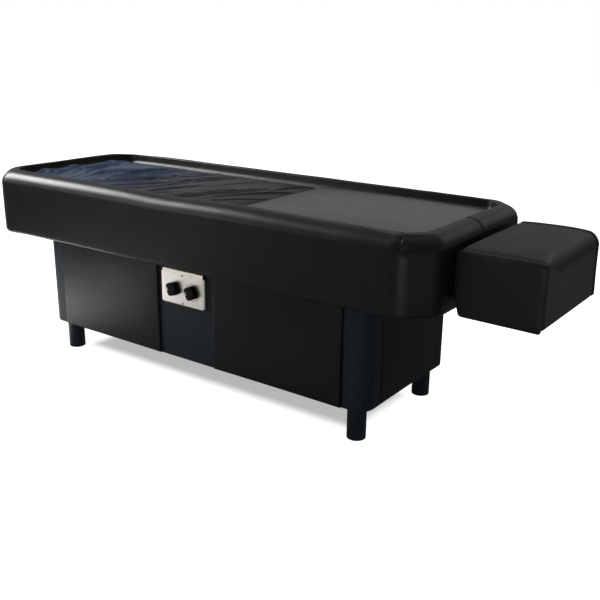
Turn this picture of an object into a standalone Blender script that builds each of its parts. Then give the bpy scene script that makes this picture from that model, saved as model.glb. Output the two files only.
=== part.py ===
"""Hydromassage table: a padded tub with a water membrane, on a cabinet, with a hang-on footrest.

Units are metres and +Z is up. The origin is on the floor under the middle of the overall box.
+X runs from the head end to the footrest, and -Y is the side with the controls.
"""
import math
from collections import namedtuple

import bmesh
import bpy
from mathutils import Matrix, Vector

# Clearances
GAP = 0.0003
RUN = 0.0004

# Heights of the three storeys
FOOT_HEIGHT = 0.1185
CABINET_HEIGHT = 0.3635
TUB_HEIGHT = 0.238

# Cabinet
CABINET_LENGTH = 1.498
CABINET_WIDTH = 0.553
BOARD = 0.018
POST_WIDTH = 0.090
POST_ROUND = 0.050
PANEL_THICKNESS = 0.0100
PANEL_EDGE = 0.0045
PANEL_CROWN = 0.0015
END_SINK = 0.007
BAY_WIDTH = 0.260
FOOT_RADIUS = 0.03175
FOOT_INSET_X = 0.064
FOOT_INSET_Y = 0.058
FOOT_EDGE = 0.006

# Padded tub: a clipped rectangle in plan, with a rolled rim
TUB_LENGTH = 1.952
TUB_WIDTH = 0.723
TUB_CORNER = 0.086
SKIRT = 0.026
SKIRT_EDGE = 0.010
WALL = 0.018
RIM_WIDTH = 0.064
RIM_FOOT = 0.078
RIM_DEPTH = 0.0447
OUTER_ROLL = 0.034
INNER_ROLL = 0.026
INNER_SLOPE = 29.0

# Leg pad, which fills the foot end of the well
PAD_LENGTH = 0.692
PAD_THICKNESS = 0.024
PAD_CROWN = 0.006
PAD_EDGE = 0.008
PAD_CORNER = 0.020
PAD_OVERLAP = 0.030

# Water tank, membrane and the frame that clamps it
TANK_WALL = 0.005
FLANGE = 0.004
FLANGE_WIDTH = 0.036
MEMBRANE = 0.002
MEMBRANE_RISE = 0.015
MEMBRANE_SLOPE = 0.0105
FOLD_HEIGHT = 0.007
FOLD_COUNT = 8
FOLD_FIRST = 38.0
FOLD_STEP = 9.0
FOLD_SPREAD = 2.8
FAN_HEADWARD = 0.730
FAN_FRONT = 0.650
FRAME = 0.004
FRAME_WIDTH = 0.027
FRAME_INSET = 0.002

# Travelling jets
RAIL_RADIUS = 0.010
RAIL_SPACING = 0.400
RAIL_HEIGHT = 0.055
CARRIAGE_LENGTH = 0.120
CARRIAGE_WIDTH = 0.460
CARRIAGE_THICKNESS = 0.036
JET_TRAVEL = 0.250
JETS_HEADWARD = 0.300
JET_BAR_WIDTH = 0.060
JET_BAR_LENGTH = 0.300
JET_BAR_HEIGHT = 0.024
JET_COUNT = 4
JET_RADIUS = 0.015
JET_HEIGHT = 0.028
JET_COLLAR = 0.0085
JET_TIP = 0.0075
PULLEY_RADIUS = 0.022
PULLEY_FLANGE = 0.005
PULLEY_MARGIN = 0.030
BELT_WIDTH = 0.012
BELT_THICKNESS = 0.002
BELT_HEIGHT = 0.012
SHAFT_RADIUS = 0.008
PIN_RADIUS = 0.006
MOTOR_RADIUS = 0.042
MOTOR_LENGTH = 0.120

# Pump and pipes
PUMP_FOOTWARD = 0.100
PUMP_SIDE = 0.100
PUMP_HEIGHT = 0.100
VOLUTE_RADIUS = 0.070
VOLUTE_WIDTH = 0.050
VOLUTE_WALL = 0.007
IMPELLER_RADIUS = 0.054
PUMP_MOTOR_RADIUS = 0.062
PUMP_MOTOR_LENGTH = 0.230
PUMP_SHAFT_RADIUS = 0.010
PUMP_SHOULDER = 0.019
PUMP_COWL = 0.012
PUMP_FOOT_INSET = 0.046
PUMP_FOOT_SIDE = 0.006
VANE_THICKNESS = 0.004
VANE_TIP = 0.003
SUCTION_RADIUS = 0.018
SUCTION_REACH = 0.180
DISCHARGE_RADIUS = 0.014
PIPE_WALL = 0.003
PIPE_BEND = 0.060
HOSE_RADIUS = 0.011
DRAIN_HEADWARD = 0.450
DRAIN_RADIUS = 0.015
VALVE_RADIUS = 0.028
VALVE_HEIGHT = 0.060
LEVER_LENGTH = 0.085

# Controls
PLATE_WIDTH = 0.204
PLATE_HEADWARD = 0.004
PLATE_HEIGHT = 0.127
PLATE_DROP = 0.030
PLATE_PROUD = 0.012
PLATE_SHEET = 0.0015
PLATE_SLOPE = 0.005
PLATE_HOOD = 0.015
KNOB_SPACING = 0.0866
KNOB_RADIUS = 0.0245
KNOB_SKIRT = 0.005
KNOB_DEPTH = 0.018
KNOB_BAR = 0.046
KNOB_SHAFT = 0.003
KNOB_CHAMFER = 0.0012
KNOB_TAPER = 0.95
KNOB_FRONT = 0.88
KNOB_SQUARENESS = 0.45
TIMER_KNOB_TURN = math.radians(-16.0)
PRESSURE_KNOB_TURN = math.radians(-24.0)
SWITCH_WIDTH = 0.060
SWITCH_HEIGHT = 0.070
SWITCH_DEPTH = 0.055
INLET_RADIUS = 0.010
INLET_NUT = 0.015

# Footrest block and its hanging cleats
FOOTREST_GAP = 0.022
FOOTREST_LENGTH = 0.254
FOOTREST_WIDTH = 0.457
FOOTREST_HEIGHT = 0.201
FOOTREST_RISE = 0.005
FOOTREST_CROWN = 0.012
FOOTREST_DRAW = 0.006
FOOTREST_EDGE = 0.012
CLEAT_LENGTH = 0.360
CLEAT_HEIGHT = 0.040
HANGER_HEIGHT = 0.060

# Levels and lines worked out from the sizes above
ROUND = 24
EDGE_EASE = 0.3
DIAGONAL = math.sqrt(2.0)
TUB_X = -(FOOTREST_GAP + FOOTREST_LENGTH) / 2
DECK_Z = FOOT_HEIGHT + CABINET_HEIGHT
RIM_Z = DECK_Z + TUB_HEIGHT
RIM_UNDER = RIM_Z - RIM_DEPTH
HEAD_X = TUB_X - TUB_LENGTH / 2
FOOT_X = TUB_X + TUB_LENGTH / 2
CABINET_X = CABINET_LENGTH / 2
CABINET_Y = CABINET_WIDTH / 2
DECK_TOP = DECK_Z + BOARD
WALL_INSET = SKIRT + GAP + WALL + GAP
FRAME_TOP = RIM_UNDER - GAP
CLAMP_TOP = FRAME_TOP - FRAME - GAP
FLANGE_TOP = CLAMP_TOP - MEMBRANE - GAP
TANK_BOTTOM = DECK_TOP + GAP
TANK_FLOOR = TANK_BOTTOM + TANK_WALL
PAD_FOOT_X = FOOT_X - RIM_FOOT - GAP
PAD_HEAD_X = PAD_FOOT_X - PAD_LENGTH
TANK_FOOT_X = PAD_HEAD_X + PAD_OVERLAP
TANK_INSET = FLANGE_WIDTH + TANK_WALL
TANK_HEAD_X = HEAD_X + WALL_INSET
CARRIAGE_X = TUB_X - JETS_HEADWARD
RAIL_Z = TANK_FLOOR + RAIL_HEIGHT
BELT_Z = TANK_FLOOR + BELT_HEIGHT
PULLEY_REACH = JET_TRAVEL + CARRIAGE_LENGTH / 2 + PULLEY_RADIUS + PULLEY_MARGIN
DRIVE_X = CARRIAGE_X - PULLEY_REACH
IDLER_X = CARRIAGE_X + PULLEY_REACH
CARRIAGE_TOP = RAIL_Z + CARRIAGE_THICKNESS / 2
JET_BAR_BOTTOM = CARRIAGE_TOP + GAP
FLOOR_TOP = FOOT_HEIGHT + BOARD
PUMP_Z = FLOOR_TOP + PUMP_HEIGHT
VOLUTE_X = TUB_X + PUMP_FOOTWARD
SUCTION_X = VOLUTE_X - SUCTION_REACH
DRAIN_X = TUB_X - DRAIN_HEADWARD
DRAIN_Y = PUMP_SIDE
VALVE_Z = (FLOOR_TOP + DECK_Z) / 2
PLATE_TOP = DECK_Z - PLATE_DROP
PLATE_FACE_Z = PLATE_TOP - PLATE_HOOD - (PLATE_HEIGHT - PLATE_HOOD - PLATE_SLOPE) / 2

Outline = namedtuple("Outline", "head foot half_width head_clip foot_clip draw")


# Mesh helpers

def material(name, color, roughness, metallic=0.0):
    """A plain finish, with its colour given as linear red, green and blue."""
    finish = bpy.data.materials.new(name)
    finish.use_nodes = True
    shader = finish.node_tree.nodes["Principled BSDF"]
    shader.inputs["Base Color"].default_value = (*color, 1.0)
    shader.inputs["Roughness"].default_value = roughness
    shader.inputs["Metallic"].default_value = metallic
    return finish


def add(name, bm, finish, origin=(0.0, 0.0, 0.0)):
    """Make an object of a mesh that is in world coordinates, with its origin at the point given."""
    bmesh.ops.recalc_face_normals(bm, faces=bm.faces)
    bm.transform(Matrix.Translation(-Vector(origin)))
    mesh = bpy.data.meshes.new(name)
    bm.to_mesh(mesh)
    bm.free()
    mesh.materials.append(finish)
    mesh.shade_smooth()
    mesh.set_sharp_from_angle(angle=math.radians(35.0))
    piece = bpy.data.objects.new(name, mesh)
    piece.location = origin
    bpy.context.collection.objects.link(piece)
    return piece


def combine(piece, bm, operation):
    """Cut a mesh out of a piece, or join it on, with a hidden tool object."""
    tool = add(f"tool_{piece.name}_{len(piece.modifiers)}", bm, piece.data.materials[0])
    tool.hide_render = True
    tool.display_type = "WIRE"
    step = piece.modifiers.new(operation.lower(), "BOOLEAN")
    step.operation = operation
    step.solver = "EXACT"
    step.object = tool


def lofted(loops, ring=False):
    """Join loops of equal length with quads. Close the ends with caps, or join the last to the first."""
    bm = bmesh.new()
    rows = [[bm.verts.new(point) for point in loop] for loop in loops]
    pairs = list(zip(rows, rows[1:]))
    if ring:
        pairs.append((rows[-1], rows[0]))
    else:
        bm.faces.new(rows[0])
        bm.faces.new(rows[-1])
    for low, high in pairs:
        for index in range(len(low)):
            after = (index + 1) % len(low)
            bm.faces.new((low[index], low[after], high[after], high[index]))
    return bm


def box(low, high):
    """A box between two opposite corners."""
    corners = ((low[0], low[1]), (high[0], low[1]), (high[0], high[1]), (low[0], high[1]))
    return lofted([[(x, y, z) for x, y in corners] for z in (low[2], high[2])])


def prism(outline, along, start, end):
    """An outline drawn across one axis (x, y or z) and extruded along it."""
    place = {
        "x": lambda a, b, t: (t, a, b),
        "y": lambda a, b, t: (a, t, b),
        "z": lambda a, b, t: (a, b, t),
    }[along]
    return lofted([[place(a, b, t) for a, b in outline] for t in (start, end)])


def turned(profile, along, centre, ring=False, sides=ROUND):
    """Turn (radius, distance) points about an axis. A ring's profile closes on itself, round a bore."""
    place = {
        "x": lambda u, v, t: (t, centre[0] + u, centre[1] + v),
        "y": lambda u, v, t: (centre[0] + u, t, centre[1] + v),
        "z": lambda u, v, t: (centre[0] + u, centre[1] + v, t),
    }[along]
    angles = [2 * math.pi * index / sides for index in range(sides)]
    loops = [[place(r * math.cos(a), r * math.sin(a), t) for a in angles] for r, t in profile]
    return lofted(loops, ring)


def tube(points, outer, inner, sides=16):
    """A hollow pipe along a path that lies in one upright plane along X."""
    path = [Vector(point) for point in points]
    side = Vector((0.0, 1.0, 0.0))
    loops = []
    for radius in (outer, inner):
        rings = []
        for index, point in enumerate(path):
            ahead = path[min(index + 1, len(path) - 1)] - path[max(index - 1, 0)]
            across = ahead.normalized().cross(side)
            turns = [2 * math.pi * step / sides for step in range(sides)]
            rings.append([point + radius * (math.cos(a) * side + math.sin(a) * across) for a in turns])
        loops += rings if radius == outer else rings[::-1]
    return lofted(loops, ring=True)


def arc(centre, radius, start, end, steps):
    """Points along an arc, with its angles in degrees."""
    angles = [math.radians(start + (end - start) * step / steps) for step in range(steps + 1)]
    return [(centre[0] + radius * math.cos(a), centre[1] + radius * math.sin(a)) for a in angles]


def tub_corners(inset):
    """The eight corners of the tub's plan, moved in, anticlockwise from the front's head end."""
    x = TUB_LENGTH / 2 - inset
    y = TUB_WIDTH / 2 - inset
    clip = corner_clip(inset)
    corners = ((clip - x, -y), (x - clip, -y), (x, clip - y), (x, y - clip),
               (x - clip, y), (clip - x, y), (-x, y - clip), (-x, clip - y))
    return [(TUB_X + a, b) for a, b in corners]


def corner_clip(inset):
    """Leg of the clipped corner of the tub's plan when it is moved in."""
    return TUB_CORNER - inset * (2.0 - DIAGONAL)


def on_outline(outline, s, t):
    """Map s and t, from -1 to 1, onto a rectangle with clipped corners and drawn-in sides."""
    x = (outline.head + outline.foot) / 2 + s * (outline.foot - outline.head) / 2
    width = outline.half_width
    width -= max(0.0, outline.head_clip - (x - outline.head))
    width -= max(0.0, outline.foot_clip - (outline.foot - x))
    x -= outline.draw * (1.0 - t * t) * max(s, 0.0)
    return x, t * (width - outline.draw * (1.0 - s * s))


def spaced(count):
    """Even steps from -1 to 1."""
    return [2.0 * index / count - 1.0 for index in range(count + 1)]


def pillow(top, rings, bottom, cells):
    """A closed soft form: a top and a bottom grid on outlines, joined by rings round the sides.

    The top and the bottom are (outline, height function of s and t), and each ring is (outline, height).
    """
    across, along = spaced(cells[0]), spaced(cells[1])
    bm = bmesh.new()
    rim = [(i, 0) for i in range(len(across))]
    rim += [(len(across) - 1, j) for j in range(1, len(along))]
    rim += [(i, len(along) - 1) for i in range(len(across) - 2, -1, -1)]
    rim += [(0, j) for j in range(len(along) - 2, 0, -1)]
    edges = []
    for outline, height in (top, bottom):
        grid = [[bm.verts.new((*on_outline(outline, s, t), height(s, t))) for t in along] for s in across]
        for low, high in zip(grid, grid[1:]):
            for j in range(len(along) - 1):
                bm.faces.new((low[j], high[j], high[j + 1], low[j + 1]))
        edges.append([grid[i][j] for i, j in rim])
    loops = [edges[0]]
    for outline, height in rings:
        ring = [(*on_outline(outline, across[i], along[j]), height) for i, j in rim]
        loops.append([bm.verts.new(point) for point in ring])
    loops.append(edges[1])
    for upper, lower in zip(loops, loops[1:]):
        for index in range(len(rim)):
            after = (index + 1) % len(rim)
            bm.faces.new((upper[index], upper[after], lower[after], lower[index]))
    return bm


def moved_in(outline, inset, draw=0.0):
    """The same outline with its edges moved in."""
    clips = [max(clip - inset * (2.0 - DIAGONAL), GAP) for clip in (outline.head_clip, outline.foot_clip)]
    return Outline(outline.head + inset, outline.foot - inset, outline.half_width - inset, *clips, draw)


# Cabinet

def cabinet_boards(finish):
    """Four upright boards between the corner posts, the end ones set back, and the floor board inside them."""
    inner_x = CABINET_X - POST_WIDTH - GAP
    inner_y = CABINET_Y - POST_WIDTH - GAP
    top = DECK_Z - GAP
    front = add("carcass_front", box((TUB_X - inner_x, -CABINET_Y, FOOT_HEIGHT),
                                     (TUB_X + inner_x, -CABINET_Y + BOARD, top)), finish)
    opening_x = KNOB_SPACING / 2 + SWITCH_WIDTH / 2 + RUN
    opening_z = SWITCH_HEIGHT / 2 + RUN
    combine(front, box((TUB_X - opening_x, -CABINET_Y - BOARD, PLATE_FACE_Z - opening_z),
                       (TUB_X + opening_x, -CABINET_Y + 2 * BOARD, PLATE_FACE_Z + opening_z)), "DIFFERENCE")
    back = add("carcass_back", box((TUB_X - inner_x, CABINET_Y - BOARD, FOOT_HEIGHT),
                                   (TUB_X + inner_x, CABINET_Y, top)), finish)
    hole = [(INLET_RADIUS + RUN, CABINET_Y - 2 * BOARD), (INLET_RADIUS + RUN, CABINET_Y + BOARD)]
    combine(back, turned(hole, "y", (TUB_X, PUMP_Z)), "DIFFERENCE")
    for name, side in (("carcass_head", -1), ("carcass_foot", 1)):
        face = CABINET_X - END_SINK
        near, far = sorted((TUB_X + side * (face - BOARD), TUB_X + side * face))
        add(name, box((near, -inner_y, FOOT_HEIGHT), (far, inner_y, top)), finish)
    edge_x = CABINET_X - END_SINK - BOARD - GAP
    edge_y = CABINET_Y - BOARD - GAP
    quarter = [(edge_x, inner_y - GAP), (inner_x - GAP, inner_y - GAP), (inner_x - GAP, edge_y)]
    outline = quarter + [(-x, y) for x, y in quarter[::-1]]
    outline += [(-x, -y) for x, y in outline]
    plan = [(TUB_X + x, y) for x, y in outline]
    floor = add("base_floor", prism(plan, "z", FOOT_HEIGHT, FLOOR_TOP), finish)
    spout = [(DRAIN_RADIUS + RUN, FOOT_HEIGHT - BOARD), (DRAIN_RADIUS + RUN, FLOOR_TOP + BOARD)]
    combine(floor, turned(spout, "z", (DRAIN_X, DRAIN_Y)), "DIFFERENCE")


def corner_posts_and_feet(post_finish, foot_finish):
    """Posts with a rounded outer corner at the cabinet's corners, each standing over a turned foot."""
    for end, x_side in (("head", -1), ("foot", 1)):
        for face, y_side in (("front", -1), ("back", 1)):
            flat = POST_WIDTH - POST_ROUND
            square = [(0.0, 0.0), (POST_WIDTH, 0.0)] + arc((flat, flat), POST_ROUND, 0.0, 90.0, 8)
            square.append((0.0, POST_WIDTH))
            corner = (CABINET_X - POST_WIDTH, CABINET_Y - POST_WIDTH)
            plan = [(TUB_X + x_side * (corner[0] + x), y_side * (corner[1] + y)) for x, y in square]
            add(f"corner_post_{face}_{end}", prism(plan, "z", FOOT_HEIGHT, DECK_Z - GAP), post_finish)
            centre = (TUB_X + x_side * (CABINET_X - FOOT_INSET_X), y_side * (CABINET_Y - FOOT_INSET_Y))
            profile = arc((FOOT_RADIUS - FOOT_EDGE, FOOT_EDGE), FOOT_EDGE, -90.0, 0.0, 3)
            profile.append((FOOT_RADIUS, FOOT_HEIGHT - GAP))
            add(f"leg_{face}_{end}", turned(profile, "z", centre), foot_finish)


def padded_panel(name, width, finish, place):
    """A thin upholstered panel, drawn in its own plane and then placed on the cabinet."""
    height = CABINET_HEIGHT - GAP
    full = Outline(-width / 2, width / 2, height / 2, GAP, GAP, 0.0)
    face = moved_in(full, PANEL_EDGE)
    shoulder = moved_in(full, PANEL_EDGE * EDGE_EASE)

    def front(s, t):
        return PANEL_THICKNESS - PANEL_CROWN + PANEL_CROWN * (1 - s * s) * (1 - t * t)

    rings = [(shoulder, PANEL_THICKNESS - PANEL_CROWN - PANEL_EDGE * EDGE_EASE),
             (full, PANEL_THICKNESS - PANEL_CROWN - PANEL_EDGE)]
    bm = pillow((face, front), rings, (full, lambda s, t: GAP), (6, 4))
    bm.transform(place)
    add(name, bm, finish)


def cabinet_panels(finish):
    """Upholstered panels on all four sides, with a bay left bare in the middle of the long sides."""
    middle_z = FOOT_HEIGHT + (CABINET_HEIGHT - GAP) / 2
    long_width = CABINET_X - POST_WIDTH - BAY_WIDTH / 2
    long_x = (CABINET_X - POST_WIDTH + BAY_WIDTH / 2) / 2
    short_width = 2 * (CABINET_Y - POST_WIDTH)
    upright = Matrix.Rotation(math.radians(90.0), 4, "X")
    for face, y_side in (("front", -1), ("back", 1)):
        for end, x_side in (("head", -1), ("foot", 1)):
            turn = Matrix.Rotation(math.radians(90.0 + 90.0 * y_side), 4, "Z")
            spot = Matrix.Translation((TUB_X + x_side * long_x, y_side * CABINET_Y, middle_z))
            padded_panel(f"{face}_{end}_panel", long_width, finish, spot @ turn @ upright)
    for end, x_side in (("head", -1), ("foot", 1)):
        turn = Matrix.Rotation(math.radians(90.0 * x_side), 4, "Z")
        spot = Matrix.Translation((TUB_X + x_side * (CABINET_X - END_SINK), 0.0, middle_z))
        padded_panel(f"{end}_end_panel", short_width, finish, spot @ turn @ upright)


# Tub

def tub_deck_and_walls(finish):
    """The plywood deck on the cabinet, and the upright boards inside the padded skirt."""
    deck = add("tub_deck", prism(tub_corners(SKIRT + GAP), "z", DECK_Z, DECK_TOP), finish)
    for radius, x, y in ((SHAFT_RADIUS, DRIVE_X, 0.0), (SUCTION_RADIUS, SUCTION_X, -PUMP_SIDE),
                         (DISCHARGE_RADIUS, VOLUTE_X, -PUMP_SIDE), (DRAIN_RADIUS, DRAIN_X, DRAIN_Y)):
        hole = [(radius + RUN, DECK_Z - BOARD), (radius + RUN, DECK_TOP + BOARD)]
        combine(deck, turned(hole, "z", (x, y)), "DIFFERENCE")
    low, high = DECK_TOP + GAP, RIM_UNDER - GAP
    corners = tub_corners(SKIRT)
    outer, inner = SKIRT + GAP, SKIRT + GAP + WALL
    for name, side in (("tub_wall_front", -1), ("tub_wall_back", 1)):
        near, far = sorted((side * (TUB_WIDTH / 2 - outer), side * (TUB_WIDTH / 2 - inner)))
        add(name, box((corners[0][0] + GAP, near, low), (corners[1][0] - GAP, far, high)), finish)
    for name, side in (("tub_wall_head", -1), ("tub_wall_foot", 1)):
        near, far = sorted((TUB_X + side * (TUB_LENGTH / 2 - outer), TUB_X + side * (TUB_LENGTH / 2 - inner)))
        add(name, box((near, corners[2][1] + GAP, low), (far, corners[3][1] - GAP, high)), finish)


def bolster_section():
    """Section of the padded rim and skirt, as (distance in from the outer face, height)."""
    points = [(SKIRT, RIM_UNDER), (SKIRT, DECK_Z)]
    points += arc((SKIRT_EDGE, DECK_Z + SKIRT_EDGE), SKIRT_EDGE, 270.0, 180.0, 3)
    points += arc((OUTER_ROLL, RIM_Z - OUTER_ROLL), OUTER_ROLL, 180.0, 90.0, 6)
    points += arc((RIM_WIDTH - INNER_ROLL, RIM_Z - INNER_ROLL), INNER_ROLL, 90.0, INNER_SLOPE, 5)
    points.append((RIM_FOOT, RIM_UNDER))
    return points


def bolsters(finish):
    """The padded surround, in four lengths that meet at the sewn seams beside the clipped corners."""
    section = bolster_section()
    runs = {"front_bolster": (0, 1), "foot_bolster": (1, 2, 3, 4),
            "back_bolster": (4, 5), "head_bolster": (5, 6, 7, 0)}
    seam_side = {"front_bolster": (1, -1), "foot_bolster": (1, 1),
                 "back_bolster": (-1, 1), "head_bolster": (-1, -1)}
    for name, run in runs.items():
        loops = []
        for corner in run:
            loops.append([(*tub_corners(inset)[corner], z) for inset, z in section])
        for index, side in zip((0, -1), seam_side[name]):
            loops[index] = [(x + side * GAP / 2, y, z) for x, y, z in loops[index]]
        add(name, lofted(loops), finish)


# Water tank and what lies over it

def tank_outline():
    """Outer edge of the tank's flange, which reaches the boards of the tub and runs under the pad."""
    return Outline(TANK_HEAD_X, TANK_FOOT_X, TUB_WIDTH / 2 - WALL_INSET, corner_clip(WALL_INSET), GAP, 0.0)


def outline_loop(outline, z):
    """The eight corners of a clipped outline at one height."""
    head, foot, y = outline.head, outline.foot, outline.half_width
    a, b = outline.head_clip, outline.foot_clip
    plan = ((head + a, -y), (foot - b, -y), (foot, b - y), (foot, y - b),
            (foot - b, y), (head + a, y), (head, y - a), (head, a - y))
    return [(px, py, z) for px, py in plan]


def water_tank(finish):
    """An open tank, holed for the drive shaft, the pipes and the drain, with a flat flange on its walls."""
    edge = tank_outline()
    outer = moved_in(edge, FLANGE_WIDTH)
    inner = moved_in(edge, TANK_INSET)
    under = FLANGE_TOP - FLANGE
    flange = [outline_loop(inner, FLANGE_TOP), outline_loop(edge, FLANGE_TOP), outline_loop(edge, under),
              outline_loop(inner, under)]
    add("tank_flange", lofted(flange, ring=True), finish)
    walls = [outline_loop(inner, TANK_FLOOR), outline_loop(inner, under - GAP),
             outline_loop(outer, under - GAP), outline_loop(outer, TANK_BOTTOM)]
    tank = add("tank", lofted(walls), finish)
    for radius, x, y in ((SHAFT_RADIUS + RUN, DRIVE_X, 0.0),
                         (SUCTION_RADIUS - PIPE_WALL, SUCTION_X, -PUMP_SIDE),
                         (DISCHARGE_RADIUS + RUN, VOLUTE_X, -PUMP_SIDE),
                         (DRAIN_RADIUS - PIPE_WALL, DRAIN_X, DRAIN_Y)):
        hole = [(radius, TANK_BOTTOM - TANK_WALL), (radius, TANK_FLOOR + TANK_WALL)]
        combine(tank, turned(hole, "z", (x, y)), "DIFFERENCE")


def membrane_height(outline, s, t):
    """Height of the slack membrane: the water's swell, and folds that fan out from a point in front."""
    x, y = on_outline(outline, s, t)
    bearing = math.degrees(math.atan2(y + FAN_FRONT, x - TUB_X + FAN_HEADWARD))
    reach = (1.0 - s ** 6) * (1.0 - t ** 6)
    height = CLAMP_TOP + MEMBRANE_RISE
    for fold in range(FOLD_COUNT):
        off_crest = (bearing - FOLD_FIRST - fold * FOLD_STEP) / FOLD_SPREAD
        height += FOLD_HEIGHT * reach * math.exp(-off_crest ** 2)
    return height


def membrane_and_frame(membrane_finish, frame_finish):
    """The slack sheet over the water, its edge clamped on the tank's flange by a flat frame."""
    edge = moved_in(tank_outline(), FRAME_INSET)
    hem = moved_in(tank_outline(), RIM_FOOT + 3 * GAP - WALL_INSET)._replace(foot=PAD_HEAD_X - 3 * GAP)
    swell = moved_in(hem, MEMBRANE_SLOPE)
    low = CLAMP_TOP - MEMBRANE
    rings = [(hem, CLAMP_TOP), (edge, CLAMP_TOP), (edge, low), (hem._replace(foot=PAD_HEAD_X - 6 * GAP), low)]
    bm = pillow((swell, lambda s, t: membrane_height(swell, s, t)), rings,
                (moved_in(swell, MEMBRANE / 2), lambda s, t: membrane_height(swell, s, t) - MEMBRANE),
                (36, 16))
    add("membrane", bm, membrane_finish)
    inner = moved_in(tank_outline(), FRAME_WIDTH)._replace(foot=TANK_FOOT_X - FRAME_WIDTH + FRAME_INSET)
    bottom = CLAMP_TOP + GAP
    loops = [outline_loop(edge, bottom), outline_loop(edge, FRAME_TOP),
             outline_loop(inner, FRAME_TOP), outline_loop(inner, bottom)]
    add("membrane_frame", lofted(loops, ring=True), frame_finish)


def leg_pad(pad_finish, board_finish):
    """The crowned pad at the foot end, and the plywood bridge that carries it over the deck."""
    side = TUB_WIDTH / 2 - RIM_FOOT - GAP
    full = Outline(PAD_HEAD_X, PAD_FOOT_X, side, PAD_CORNER, corner_clip(RIM_FOOT) + PAD_EDGE, 0.0)
    bottom = FRAME_TOP + GAP
    top = bottom + PAD_THICKNESS

    def crown(s, t):
        return top + PAD_CROWN * (1 - s ** 4) * (1 - t ** 4)

    rings = [(moved_in(full, PAD_EDGE * EDGE_EASE), top - PAD_EDGE * EDGE_EASE), (full, top - PAD_EDGE),
             (moved_in(full, 2 * GAP, 2 * GAP), bottom + PAD_EDGE), (full, bottom + PAD_EDGE / 2)]
    bm = pillow((moved_in(full, PAD_EDGE), crown), rings, (full, lambda s, t: bottom), (14, 12))
    add("leg_pad", bm, pad_finish)
    near, far = TANK_FOOT_X + GAP, FOOT_X - WALL_INSET - corner_clip(WALL_INSET)
    low, high = DECK_TOP + GAP, FRAME_TOP
    outline = [(near, low), (near + BOARD, low), (near + BOARD, high - BOARD), (far - BOARD, high - BOARD),
               (far - BOARD, low), (far, low), (far, high), (near, high)]
    width = TUB_WIDTH / 2 - WALL_INSET
    add("pad_bridge", prism(outline, "y", -width, width), board_finish)


# Travelling jets inside the tank

def rails(finish):
    """Two round rails along the tank, from one end wall to the other."""
    near = TANK_HEAD_X + TANK_INSET + GAP
    far = TANK_FOOT_X - TANK_INSET - GAP
    for name, side in (("rail_front", -1), ("rail_back", 1)):
        centre = (side * RAIL_SPACING / 2, RAIL_Z)
        add(name, turned([(RAIL_RADIUS, near), (RAIL_RADIUS, far)], "x", centre), finish)


def jet_carriage(carriage_finish, jet_finish):
    """The carriage on the rails, with a lug round one run of the belt, and the bar of jets on top."""
    origin = (CARRIAGE_X, 0.0, RAIL_Z)
    low = RAIL_Z - CARRIAGE_THICKNESS / 2
    half = CARRIAGE_WIDTH / 2
    slot_near = PULLEY_RADIUS + GAP - RUN
    slot_far = PULLEY_RADIUS + GAP + BELT_THICKNESS + RUN
    lug = 3 * BELT_THICKNESS
    slot_top = BELT_Z + BELT_WIDTH + RUN
    outline = [(-half, low), (slot_near - lug, low), (slot_near - lug, BELT_Z), (slot_near, BELT_Z),
               (slot_near, slot_top), (slot_far, slot_top), (slot_far, BELT_Z), (slot_far + lug, BELT_Z),
               (slot_far + lug, low), (half, low), (half, CARRIAGE_TOP), (-half, CARRIAGE_TOP)]
    start, end = CARRIAGE_X - CARRIAGE_LENGTH / 2, CARRIAGE_X + CARRIAGE_LENGTH / 2
    carriage = add("jet_carriage", prism(outline, "x", start, end), carriage_finish, origin)
    for side in (-1, 1):
        bore = [(RAIL_RADIUS + RUN, start - BOARD), (RAIL_RADIUS + RUN, end + BOARD)]
        combine(carriage, turned(bore, "x", (side * RAIL_SPACING / 2, RAIL_Z)), "DIFFERENCE")
    high = JET_BAR_BOTTOM + JET_BAR_HEIGHT
    bar = add("jet_bar", box((CARRIAGE_X - JET_BAR_WIDTH / 2, -JET_BAR_LENGTH / 2, JET_BAR_BOTTOM),
                             (CARRIAGE_X + JET_BAR_WIDTH / 2, JET_BAR_LENGTH / 2, high)), jet_finish, origin)
    pitch = JET_BAR_LENGTH / JET_COUNT
    for index in range(JET_COUNT):
        y = (index - (JET_COUNT - 1) / 2) * pitch
        nozzle = [(JET_RADIUS, high - JET_BAR_HEIGHT / 2), (JET_RADIUS, high + JET_COLLAR),
                  (JET_TIP, high + JET_HEIGHT)]
        combine(bar, turned(nozzle, "z", (CARRIAGE_X, y), sides=16), "UNION")


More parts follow.
